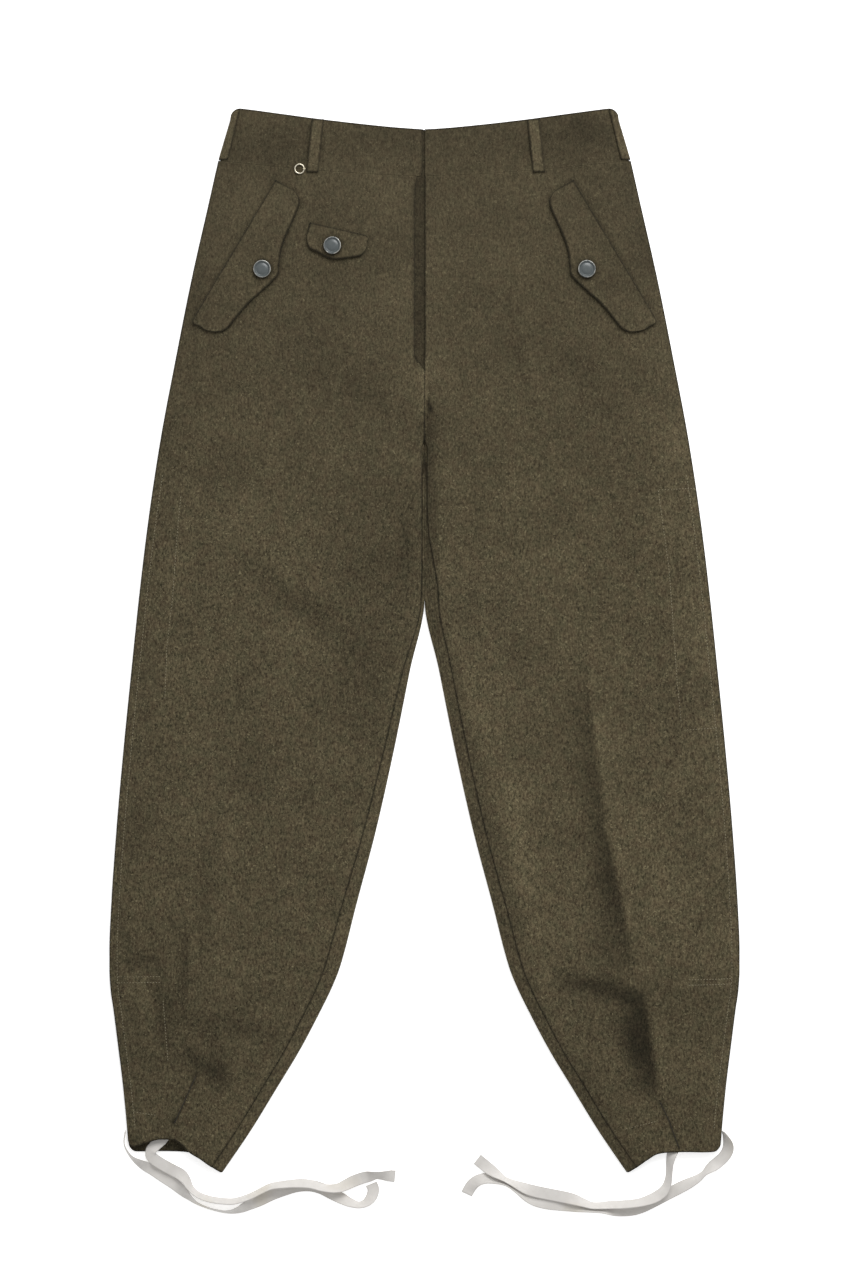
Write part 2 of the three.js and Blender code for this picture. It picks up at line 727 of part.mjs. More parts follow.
function buttonGeometry() {
  const { radius, height, rim, round, dish, bevel, shankRadius, shankHeight, segments } = BUTTON;
  const profile = [
    [0, 0],
    [shankRadius, 0],
    [shankRadius, shankHeight],
    [radius - bevel, shankHeight],
    [radius, (shankHeight + height) / 2],
    [radius - rim / 2, height],
    [radius - rim, height - round],
    [radius - 2 * rim, height - dish],
    [0, height - dish],
  ];
  const geometry = new THREE.LatheGeometry(profile.map(([x, y]) => new THREE.Vector2(x, y)), segments);
  return geometry.rotateX(Math.PI / 2);
}

// A button sits square on its flap: its axis follows the flap's slope.
function placeButton(mesh, x, y, height) {
  const step = BUTTON.shankRadius;
  const slopeX = (height(x + step, y) - height(x - step, y)) / (2 * step);
  const slopeY = (height(x, y + step) - height(x, y - step)) / (2 * step);
  const up = new THREE.Vector3(-slopeX, -slopeY, 1).normalize();
  mesh.quaternion.setFromUnitVectors(new THREE.Vector3(0, 0, 1), up);
  mesh.position.set(x, y, height(x, y)).addScaledVector(up, LINE_ON);
}

// The thread tack is a staple over the ring's wire, with one foot inside the ring.
function tackGeometry() {
  const inner = RING.wire + SEAM_GAP;
  const outer = inner + TACK.thread;
  const shape = new THREE.Shape();
  shape.moveTo(-outer, -RING.wire);
  shape.lineTo(-inner, -RING.wire);
  shape.lineTo(-inner, 0);
  shape.absarc(0, 0, inner, Math.PI, 0, true);
  shape.lineTo(inner, -RING.wire);
  shape.lineTo(outer, -RING.wire);
  shape.lineTo(outer, 0);
  shape.absarc(0, 0, outer, 0, Math.PI, false);
  const options = { depth: TACK.width, bevelEnabled: false, curveSegments: TACK.segments };
  const geometry = new THREE.ExtrudeGeometry(shape, options);
  return geometry.translate(0, 0, -TACK.width / 2).rotateX(Math.PI / 2);
}

// ---------------------------------------------------------------- tapes

// A route that also turns the tape about its own length.
class TapeRoute extends THREE.CatmullRomCurve3 {
  constructor(rows) {
    const centre = (row) => {
      const edge = (TAPE.width / 2) * Math.abs(Math.sin(radians(row.roll)));
      return row.lift + edge + TAPE.thickness / 2 + TAPE.floorGap;
    };
    super(rows.map((row) => new THREE.Vector3(row.x, row.y, centre(row))), false, 'catmullrom', 0.5);
    this.rolls = rows.map((row) => radians(row.roll));
  }

  rollAt(share) {
    const place = this.getUtoTmapping(share) * (this.rolls.length - 1);
    const k = Math.min(Math.floor(place), this.rolls.length - 2);
    return lerp(this.rolls[k], this.rolls[k + 1], place - k);
  }

  computeFrenetFrames(segments) {
    const frames = { tangents: [], normals: [], binormals: [] };
    for (let i = 0; i <= segments; i += 1) {
      const tangent = this.getTangentAt(i / segments);
      const level = new THREE.Vector3(-tangent.y, tangent.x, 0).normalize();
      const upright = new THREE.Vector3().crossVectors(tangent, level);
      const roll = this.rollAt(i / segments);
      const across = level.clone().multiplyScalar(Math.cos(roll)).addScaledVector(upright, Math.sin(roll));
      frames.tangents.push(tangent);
      frames.binormals.push(across);
      frames.normals.push(new THREE.Vector3().crossVectors(across, tangent));
    }
    return frames;
  }
}

function tapeGeometry(rows) {
  const [half, thin] = [TAPE.width / 2, TAPE.thickness / 2];
  const flat = half - TAPE.selvedge;
  const corners = [[thin, flat], [thin / 2, half], [-thin / 2, half], [-thin, flat]];
  const section = [...corners, ...corners.map(([x, y]) => [-x, -y])];
  const shape = new THREE.Shape(section.map(([x, y]) => new THREE.Vector2(x, y)));
  return new THREE.ExtrudeGeometry(shape, { steps: TAPE.steps, extrudePath: new TapeRoute(rows) });
}

// ---------------------------------------------------------------- the trousers

const group = new THREE.Group();
group.position.y = -MIDDLE;

function add(name, geometry, finish) {
  const mesh = new THREE.Mesh(geometry, new THREE.MeshStandardMaterial(COLOURS[finish]));
  mesh.name = name;
  group.add(mesh);
  return mesh;
}

const fronts = { left: frontGrid('left'), right: frontGrid('right') };
const bands = {
  left: bandGrid('left', FLY_EDGE, frontHeight),
  right: bandGrid('right', FLY_RECESS, frontHeight),
};

Object.keys(SIDES).forEach((side) => {
  const back = backGrids(side);
  const under = [fronts[side], bands[side]];
  add(`back_${side}`, wall(back.outer, back.inner), 'cloth');
  add(`front_${side}`, wall(fronts[side], lowered(fronts[side], CLOTH)), 'cloth');
  add(`waistband_front_${side}`, wall(bands[side], lowered(bands[side], CLOTH)), 'cloth');
  add(`belt_loop_front_${side}`, frontLoopWall(side, under), 'cloth');
  add(`belt_loop_side_${side}`, sideLoopWall(side, under), 'cloth');

  const place = hipFlapPlace(side);
  const thick = HIP_FLAP_PLACE.thickness;
  add(`hip_flap_${side}`, flapWall(HIP_FLAP, place, thick, under), 'cloth');
  const [x, y] = place(HIP_BUTTON.along, HIP_BUTTON.width);
  const button = add(`hip_button_${side}`, buttonGeometry(), 'button');
  placeButton(button, x, y, (atX, atY) => heightOn(under, atX, atY) + LINE_ON + thick);
});

const backBand = backBandGrid();
add('waistband_back', wall(backBand, lowered(backBand, CLOTH)), 'cloth');

const underlap = underlapGrid();
add('fly_underlap', wall(underlap, lowered(underlap, UNDERLAP.thickness)), 'cloth');

const watchUnder = [fronts.right, bands.right];
const watchThick = WATCH_FLAP_PLACE.thickness;
add('watch_flap', flapWall(WATCH_FLAP, watchFlapPlace, watchThick, watchUnder), 'cloth');
const watchButton = add('watch_button', buttonGeometry(), 'button');
const watchTop = (x, y) => heightOn(watchUnder, x, y) + LINE_ON + watchThick;
placeButton(watchButton, ...watchFlapPlace(WATCH_BUTTON.along, WATCH_BUTTON.width), watchTop);

// The ring's wire passes under the tack at its side nearest the belt loop.
const ringHeight = heightOn(watchUnder, RING.x, RING.y) + LINE_ON + RING.wire;
const ringShape = new THREE.TorusGeometry(RING.radius, RING.wire, RING.section, RING.around);
const ring = add('watch_ring', ringShape, 'ring');
ring.position.set(RING.x, RING.y, ringHeight);
const tack = add('ring_tack', tackGeometry(), 'thread');
tack.position.set(RING.x + RING.radius, RING.y, ringHeight);

Object.entries(ANKLE_TAPES).forEach(([name, rows]) => {
  add(name, tapeGeometry(rows), 'tape');
});

export default group;
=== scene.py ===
"""The looks of a pair of paratrooper trousers: wool cloth, sewing, buttons, watch ring and ankle tapes.

The script works in metres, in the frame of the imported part: +X is the wearer's left, +Y runs from the
ankles to the waist and +Z is up from the floor. Tables and sizes are written in millimetres and turned
into metres where they are read. Levels count along the trousers, and MIDDLE is the level at the origin.
"""

import math

import bpy
import numpy as np
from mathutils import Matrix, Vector


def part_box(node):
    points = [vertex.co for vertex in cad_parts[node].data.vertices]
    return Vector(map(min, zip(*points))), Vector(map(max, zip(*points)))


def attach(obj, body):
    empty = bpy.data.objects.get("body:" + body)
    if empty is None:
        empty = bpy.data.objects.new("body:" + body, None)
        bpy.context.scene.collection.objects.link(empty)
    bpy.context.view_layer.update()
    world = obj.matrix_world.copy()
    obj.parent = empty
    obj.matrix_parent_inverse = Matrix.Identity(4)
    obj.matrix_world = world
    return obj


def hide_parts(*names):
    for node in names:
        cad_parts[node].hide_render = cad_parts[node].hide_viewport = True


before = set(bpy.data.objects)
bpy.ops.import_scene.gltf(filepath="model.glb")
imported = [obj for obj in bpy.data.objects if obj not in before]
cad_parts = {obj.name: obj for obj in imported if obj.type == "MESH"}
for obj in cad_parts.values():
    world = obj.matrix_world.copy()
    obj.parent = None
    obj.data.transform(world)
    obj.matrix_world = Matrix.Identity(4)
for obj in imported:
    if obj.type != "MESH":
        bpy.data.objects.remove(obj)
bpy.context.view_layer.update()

MM = 0.001

# ---------------------------------------------------------------- driving dimensions

CLOTH = 2.3 * MM  # thickness of the wool cloth with its facings
SEAM_GAP = 0.3 * MM  # clearance between two pieces that are sewn together
LAYERS = 2 * CLOTH + SEAM_GAP  # front lying on back along an edge
FOLD_RADIUS = LAYERS / 2  # outer radius where the back turns over the inner edge of a leg
LINE_ON = 0.65 * MM  # how far a piece on a panel stands off the panel


def edge_kind(radius, tone, reach):
    """How far in the cloth starts to round off, how dark (painted shade, below 1) or pale (painted
    highlight, above 1) its edge is, and how far in that has faded.
    """
    return {"radius": radius * MM, "tone": tone, "reach": reach * MM}


# The edges' tones are painted light: painted shade along cut edges, seams, recesses, loops, flaps and tape
# selvedges, and a painted highlight along the flat waistband seam and the fly's edge.
CUT = edge_kind(1.5, 0.35, 2.2)
SEAM = edge_kind(0.6, 0.5, 1.6)
FLAT_SEAM = edge_kind(0.15, 1.14, 1.6)
FLY = edge_kind(1.2, 1.14, 2.8)
RECESS = edge_kind(0.5, 0.55, 3)
FREE = edge_kind(1.3, 0.3, 2.8)
THIN = edge_kind(0.9, 0.36, 2.1)
SELVEDGE = edge_kind(0.5, 0.86, 1.1)
EDGE_CORE = 0.3  # share of its reach over which an edge keeps its full painted shade or highlight

MIDDLE = -1 * MM
WAIST_TOP, WAIST_RISE, WAIST_CURVE = 525 * MM, 22 * MM, 1.3
SEAM_LEVEL, SEAM_RISE, SEAM_CURVE = 477 * MM, 16.5 * MM, 1.6
HALF_WAIST = 190 * MM
CORNER_RADIUS = 9 * MM
SIDE_INSET = 1.6 * MM

CROTCH = 42 * MM
FORK_TOP, FORK_BLEND, FORK_END = 198 * MM, 8 * MM, 188 * MM
FOLD_FORMED = 156 * MM  # the backs turn over the inner edges in full from here down
VALLEY_TOP = 310 * MM

FLY_BOTTOM, FLY_CLOSED = 292 * MM, 275 * MM
FLY_RECESS, FLY_EDGE = 9.8 * MM, 0.5 * MM
FLY_SLOPE, FLY_DIP = 5 * MM, 1.9 * MM  # the right front slopes down into the recess of the fly
TOP_RECESS, NARROWS_FROM, NARROWED = 1.5 * MM, 456 * MM, 508 * MM  # the recess narrows toward the waist
UNDERLAP = {"left": 32 * MM, "right": 14 * MM, "thickness": 1.6 * MM, "bottom": 268 * MM, "drop": 2.7 * MM}
UNDERLAP_COLUMNS = 24
BELOW_TOP = 0.3 * MM  # how far the underlap ends below the top of the waistband

HEM_BOTTOM, HEM_BLEND = -550 * MM, 110 * MM
WAIST_BLEND = 90 * MM

SIDES = {"left": 1, "right": -1}

# How fine the meshes are.
STEP_DOWN, STEP_ACROSS = 3.3 * MM, 2.3 * MM
SETTLING_PASSES = 4
EDGE_SHARES = np.array([0, 0.03, 0.1, 0.25, 0.5, 1])  # places of columns over the reach of an edge
FLAT_COLUMNS, TURN_COLUMNS = 90, 13
STRIP_SHARES = (0.15, 0.3, 0.45, 0.6, 0.72, 0.82, 0.9, 0.95, 0.98, 1)
BACK_WIDTH = 290 * MM  # a usual width of the flat part, to place the columns at its outer edge

# How the fronts and backs lie.
PRESSED_TOGETHER = 0.35 * MM  # how far each leg's fold is pressed into the other one's, at the fork
PARTING = 2 * MM  # height below the crotch over which the pressed folds part
CREASE_MARGIN = 20 * MM  # how far in from its edges a back's creases have their full height
UNEVEN = ((0.32 * MM, 46 * MM, 3), (0.12 * MM, 15 * MM, 4))  # height, size and seed of the front's humps
WAVES, SHORTEST, LONGEST = 14, 0.7, 1.6  # how many waves make up humps, and their lengths for a size of 1
GROOVE_WIDTH, GROOVE_DEPTH = 1.3 * MM, 0.35 * MM
DART_WIDTH, DART_DEPTH = 2 * MM, 0.7 * MM

# How dark the nap is, and the shade and light painted into it.
FRONT_NAP = {"tone": 0.95, "uneven": 0.05, "size": 90 * MM, "seed": 11}
BACK_NAP = {"tone": 0.92, "uneven": 0.06, "size": 110 * MM, "seed": 12}
CREASE_SHADING, BACK_CREASE_SHADING = 0.06, 0.03  # painted shade and light: change of tone for each millimetre of a crease's height, paler on the front's ridges, darker in its troughs and darker along the backs' creases
CREASE_COUNTED = (-4, 2)  # the heights of a crease, in millimetres, beyond which its tone doesn't change
PAINTED_SLOPE_LIGHT, STEEPEST, SLOPE_STEP = 0.3, 0.35, 1.5 * MM  # painted light: the front is painted paler on slopes that face up and right, toward the key lamp, and darker on slopes that face away
# Painted shade beside each dart: how much darker, and over what width.
DART_SHADE_TONE, DART_SHADE = 0.4, 2.4 * MM
FLAP_SHADE = {"tone": 0.2, "reach": 3 * MM}
# Painted shade in the fly's recess: on the right front's slope down into it, on the underlap, and on the
# inside of the right hem.
RECESS_SHADE_TONE = 0.52

# ---------------------------------------------------------------- tables

UNITS = {"roll": math.radians(1), "across": 1, "tone": 1}  # columns that aren't in millimetres


def table(names, rows):
    """The columns of a table by name, in metres unless UNITS says otherwise."""
    columns = zip(names.split(), zip(*rows))
    return {name: np.array(column, float) * UNITS.get(name, MM) for name, column in columns}


# Half outline, the same on both sides: the outer edge and the leg's inner edge at each level.
OUTLINE = table("y outer inner", [
    (-550, 303, 208.6), (-506, 306.4, 178.7), (-464, 310.5, 153), (-423, 315.7, 128.2),
    (-382, 320.9, 106.6), (-361, 323.9, 96.3), (-341, 325, 88.1), (-320, 325, 81.9),
    (-279, 323.4, 71.6), (-197, 317.8, 50), (-114, 310.5, 31.4), (-32, 302.3, 14.9),
    (42, 294.6, 0), (123, 284.8, 0), (205, 272.4, 0), (287, 257, 0), (370, 240.5, 0),
    (452, 222, 0), (494, 212.5, 0), (547, 199.6, 0),
])

# Fullness of the front: its rise over the lying layers, and how far from the edges it gets there.
FULLNESS = table("y puff outer_reach inner_reach", [
    (-550, 5.8, 28, 28), (-464, 6.6, 30, 30), (-300, 7.8, 44, 36), (-60, 8.2, 48, 26),
    (42, 8.4, 48, 18), (190, 8.4, 46, 14), (310, 8.4, 46, 20), (477, 7.6, 44, 20),
    (550, 7.2, 44, 20),
])

# Width of back cloth that shows on the front of each leg, from the inner edge to the inseam.
INSEAM = table("y left right", [
    (-550, 14, 15), (-340, 14, 16), (-200, 13, 13), (-60, 13, 9), (42, 14.6, 4), (84, 9, 3.4),
    (112, 4.6, 3.4), (140, 3.4, 3.4), (200, 3.4, 3.4),
])

# Level of the hem across a leg. across runs from the outer edge, 0, to the inner edge, 1.
HEM = table("across flat lifted", [
    (0, -529, -525), (0.05, -529, -523.4), (0.15, -529, -520), (0.33, -528.6, -515.6),
    (0.46, -528.8, -515.8), (0.56, -529.2, -521), (0.66, -530.6, -530), (0.78, -536.8, -537),
    (0.88, -543.4, -543.8), (1, -552, -552),
])
HEM_CORNER, INNER_CORNER = 8 * MM, 3.5 * MM  # radii of a hem's outer and inner corner

# Main folds of the front, as ridges (height above 0) and troughs (below 0) from one point to another.
# bend: how far the middle lies to the left of the straight line, left, right: half widths on those sides.
FOLDS = table("x0 y0 x1 y1 bend left right height", [
    (150, -10, 208, -334, 6, 13, 13, 4.2),
    (126, -60, 180, -330, 6, 14, 14, -2.2),
    (140, -346, 238, -392, 16, 12, 12, 2.4),
    (226, -378, 238, -468, 6, 13, 13, -2.2),
    (262, -350, 268, -470, 4, 13, 13, 1.6),
    (78, 462, 142, 97, -4, 7, 7, 1.8),
    (128, 298, 224, 162, 6, 17, 17, -1.6),
    (176, 240, 232, 60, 6, 20, 20, 1.4),
    (-138, 360, -155, 226, 2, 7, 7, 1.6),
    (-180, 72, -76, 0, -10, 16, 16, -2.2),
    (-190, 96, -88, 30, -8, 16, 16, 1.6),
    (-128, 330, -28, 214, -6, 18, 18, -1.6),
    (-184, -40, -224, -370, -4, 11, 11, 2.4),
    (-230, -216, -262, -402, -4, 10, 10, -2.2),
    (-250, -250, -240, -392, 4, 9, 9, 2),
    (-226, -388, -220, -462, 0, 13, 13, -2.2),
    (-212, -398, -130, -378, 8, 14, 14, -1.6),
    (-110, -120, -166, -330, 4, 18, 18, 1.6),
])

# Finer and sharper creases that the cloth shows on top of the main folds, in the same way.
CREASES = table("x0 y0 x1 y1 bend left right height", [
    (158, -6, 182, -212, 1.5, 4, 12, -1.6),
    (166, -30, 190, -212, 2, 14, 5, 1.4),
    (179, -180, 212, -340, 0.5, 4, 15, -2.4),
    (187, -190, 219, -336, 1, 16, 5, 1.8),
    (128, -348, 226, -372, 1, 10, 11, -2),
    (222, -360, 237, -476, 1, 5, 20, -3.2),
    (230, -364, 245, -482, 1, 8, 4.5, 1.8),
    (262, -60, 240, -170, 4, 5, 9, -0.7),
    (78, 462, 112, 270, -2, 2.6, 4, -0.8),
    (106, 290, 143, 92, -2, 2.8, 5, -0.8),
    (-138, 360, -155, 226, 2, 5, 2.6, -0.8),
    (-264, -318, -232, -452, -14, 10, 3, -2),
    (-228, -226, -232, -396, -2, 9, 6, -1.3),
    (-252, -396, -206, -426, 4, 7, 10, -1.8),
    (-236, -404, -214, -458, 2, 9, 8, -1.4),
    (-304, -331, -266, -332, 0, 4, 5, -0.9),
    (-206, -402, -168, -420, 5, 7, 7, -0.8),
    (-30, 130, -6, 30, 3, 7, 12, -0.9),
    (8, 168, 12, 62, -2, 5, 5, -0.6),
    (-128, 452, -40, 420, -4, 12, 12, -0.6),
    (150, 452, 190, 380, 3, 9, 9, -0.6),
    (-60, 60, -90, -90, 5, 9, 14, -0.9),
    (60, 30, 96, -120, -5, 12, 8, 0.8),
    (120, 180, 170, 60, 4, 8, 14, -0.8),
    (-230, 180, -262, 30, -4, 9, 14, 0.7),
])

# Shallow creases pressed up into the backs where they lie on the floor, for either side.
BACK_CREASES = table("x0 y0 x1 y1 bend left right height", [
    (16, 196, 120, 96, -14, 12, 9, 1.6),
    (20, 120, 96, 30, -10, 9, 7, 1.3),
    (70, 60, 110, -120, 8, 9, 9, 1),
    (236, -60, 286, -260, -10, 14, 9, 1.4),
    (160, -180, 214, -360, 8, 8, 14, 1.5),
    (200, -300, 280, -370, -10, 10, 10, 1.1),
    (226, -400, 232, -500, 4, 9, 9, 1.2),
    (60, 400, 150, 300, -12, 16, 10, 1),
])

# Strokes over the front painted darker (tone below 0) or paler (above 0) with painted shade and light along
# its folds and over its legs, laid out like the folds.
PAINTED_SHADING = table("x0 y0 x1 y1 bend left right tone", [
    (159, -2, 183, -212, 1.5, 3, 13, -0.2),
    (180, -180, 212, -345, 1, 3.5, 20, -0.34),
    (128, -350, 226, -371, 1, 12, 12, -0.42),
    (204, -384, 218, -442, 0, 12, 13, -0.36),
    (98, -290, 150, -430, 0, 13, 13, 0.14),
    (221, -360, 237, -476, 1, 4.5, 20, -0.62),
    (170, -300, 214, -380, 2, 16, 20, -0.14),
    (206, -120, 266, -345, 2, 26, 20, 0.16),
    (24, 20, 156, -360, -4, 24, 14, 0.17),
    (85, -120, 118, -352, 0, 12, 12, 0.2),
    (-277, -326, -262, -440, 0, 9, 9, -0.34),
    (-247, -300, -246, -384, 0, 6, 6, -0.22),
    (-256, -420, -200, -460, 0, 14, 13, -0.44),
    (-240, -388, -140, -410, 0, 12, 12, -0.3),
    (-310, -330, -262, -332, 0, 10, 12, -0.24),
    (-318, -380, -262, -470, 0, 20, 20, -0.1),
    (-30, 220, -70, -170, -6, 34, 46, -0.17),
    (-10, 180, -24, 10, 0, 14, 16, -0.2),
    (-190, 96, -70, -6, -8, 16, 22, -0.12),
    (-150, 330, -28, 214, -6, 24, 30, -0.1),
    (-186, -20, -172, -250, 0, 18, 18, -0.1),
    (-420, 512, 420, 512, 0, 40, 28, -0.2),
    (-520, 330, 520, 330, 0, 150, 190, -0.09),
    (150, 538, 200, 512, 0, 16, 16, -0.26),
    (206, 500, 240, 360, 0, 14, 14, -0.2),
    (140, 500, 250, 300, 8, 40, 24, -0.1),
    (-14, 420, 6, 230, 0, 40, 40, 0.1),
    (120, 330, 226, 160, 6, 16, 24, -0.1),
    (236, -250, 290, -270, 0, 30, 30, 0.1),
    (0, 292, 0, 226, 0, 2.4, 2.4, 1),
    (3.5, 246, 8, 232, 0, 2.4, 2.4, -0.7),
    (-261, -501, -255, -493, 0, 2, 2.2, -0.6),
])

# Hip pocket flap, seen from its sewn edge: along runs down that edge, width out from it.
HIP_FLAP = table("along width", [
    (-2, 22), (0, 28), (3, 31.6), (9, 34.8), (20, 36.4), (34, 38), (48, 40), (61, 43.6),
    (73, 49), (80.6, 52.6), (90, 50.8), (105, 46.4), (121, 41.6), (137, 38.6), (150, 37),
    (158, 34.4), (164, 28), (168, 17),
])

# Watch pocket flap, in the same way, with its sewn edge at the top.
WATCH_FLAP = table("along width", [
    (-1.2, 15), (1.6, 23), (6, 27), (13.8, 28.4), (21, 30.6), (28.5, 32), (38.5, 29.8),
    (48, 26.2), (56.4, 22.8), (60.4, 18), (61.6, 10),
])

# Each flap as it lies: where its sewn edge starts, which way that runs, its button and its mesh.
HIP = {
    "shape": HIP_FLAP, "x": 154.2 * MM, "y": 470.8 * MM, "along_x": 0.512, "along_y": -0.859,
    "thickness": 2.5 * MM, "button": (84 * MM, 35.4 * MM), "columns": 20, "steps": 90,
}
WATCH = {
    "shape": WATCH_FLAP, "x": -116.9 * MM, "y": 428.5 * MM, "along_x": 0.975, "along_y": -0.223,
    "thickness": 2.4 * MM, "button": (27 * MM, 18.2 * MM), "columns": 16, "steps": 40,
}
# Piece, node and button of each flap, its kind, the front that it lies on and the sign of its x.
FLAPS = [
    ("flap_left", "hip_flap_left", "hip_button_left", HIP, "left", 1),
    ("flap_right", "hip_flap_right", "hip_button_right", HIP, "right", -1),
    ("flap_watch", "watch_flap", "watch_button", WATCH, "right", 1),
]

FRONT_LOOP = {
    "top": 535 * MM, "bottom": 480.5 * MM, "width": 12.4 * MM, "thickness": 1.4 * MM, "arch": 1.2 * MM,
}
FRONT_LOOP_X = {"left": (112 * MM, 117.8 * MM), "right": (109.7 * MM, 115.5 * MM)}
SIDE_LOOP = {
    "width": 9.8 * MM, "thickness": 1.2 * MM, "bend": 1.6 * MM,
    "over_seam": 0.5 * MM, "below_top": 0.6 * MM,
}
LOOP_STEP, LOOP_COLUMNS = 1.6 * MM, 8
LOOP_EDGE = {"height": 0.4 * MM, "inset": 1.6 * MM, "width": 1.1 * MM}  # a loop's edges stand proud
LOOP_TONE = 1.1
FLAP_LIFT, FLAP_LIFT_REACH = 0.3 * MM, 30 * MM  # how far a flap's free edge stands off, and how soon
FLAP_CORNER = 4 * MM  # radius of the lower corner of a flap's sewn edge
BUTTON_SHADE = {"tone": 0.5, "reach": 2.2 * MM}  # the cloth is darker close round a button
FLAP_EDGE_HIGHLIGHT = {"inset": 4 * MM, "width": 1.6 * MM, "tone": 0.09}  # painted highlight: a paler line just inside the edges of a flap, along its rounded edge
HEM_INSIDE, HEM_SHADE = -522 * MM, 8 * MM  # below this level the inside of the right back shows, in shade

BUTTON_RADIUS, BUTTON_HEIGHT, BUTTON_RIM, BUTTON_DISH = 9 * MM, 3.4 * MM, 1.5 * MM, 1.1 * MM
SHANK_RADIUS, SHANK_HEIGHT, SHANK_STRAIGHT = 3.4 * MM, 0.9 * MM, 0.8
UNDERSIDE_RISE = 0.2 * MM
DISH_FILLET, DISH_GAP = 0.6 * MM, 0.5 * MM
FACE_DOME = 0.9 * MM  # how much a button's face swells again inside its dish
DOME_EDGE, DOME_RINGS = 6, (5.6, 5.2, 4.8, 4.2, 3.4, 2.4, 1.2)  # radii on the face, in millimetres
RIM_TURN, FILLET_TURN = (-70, 165, 16), (-10, -90, 6)  # first and last angle in degrees, and points
BUTTON_SEGMENTS = 72
WORN_FROM = 7 * MM  # from this far out the paint of a button's rim is worn through
RING_RADIUS, RING_WIRE = 4.75 * MM, 0.75 * MM
RING_AROUND, RING_SECTION = 72, 20
TACK_STRAND, TACK_TURNS, TACK_SPREAD, TACK_POINTS = 0.2 * MM, 4, 0.45 * MM, 15
THREAD_SECTION = 8

TAPE_WIDTH, TAPE_THICKNESS, FLOOR_GAP = 12 * MM, 1.2 * MM, 0.15 * MM
COTTON = 0.9 * MM  # thickness of the tape's cotton, within the room its route leaves
TAPE_STEPS, TAPE_COLUMNS = 10, 9
TAPE_HEM = 5 * MM  # how far from its free end a tape's turned-in end is sewn down
TAPE_SEAM = 0.4 * MM  # radius of that line of thread

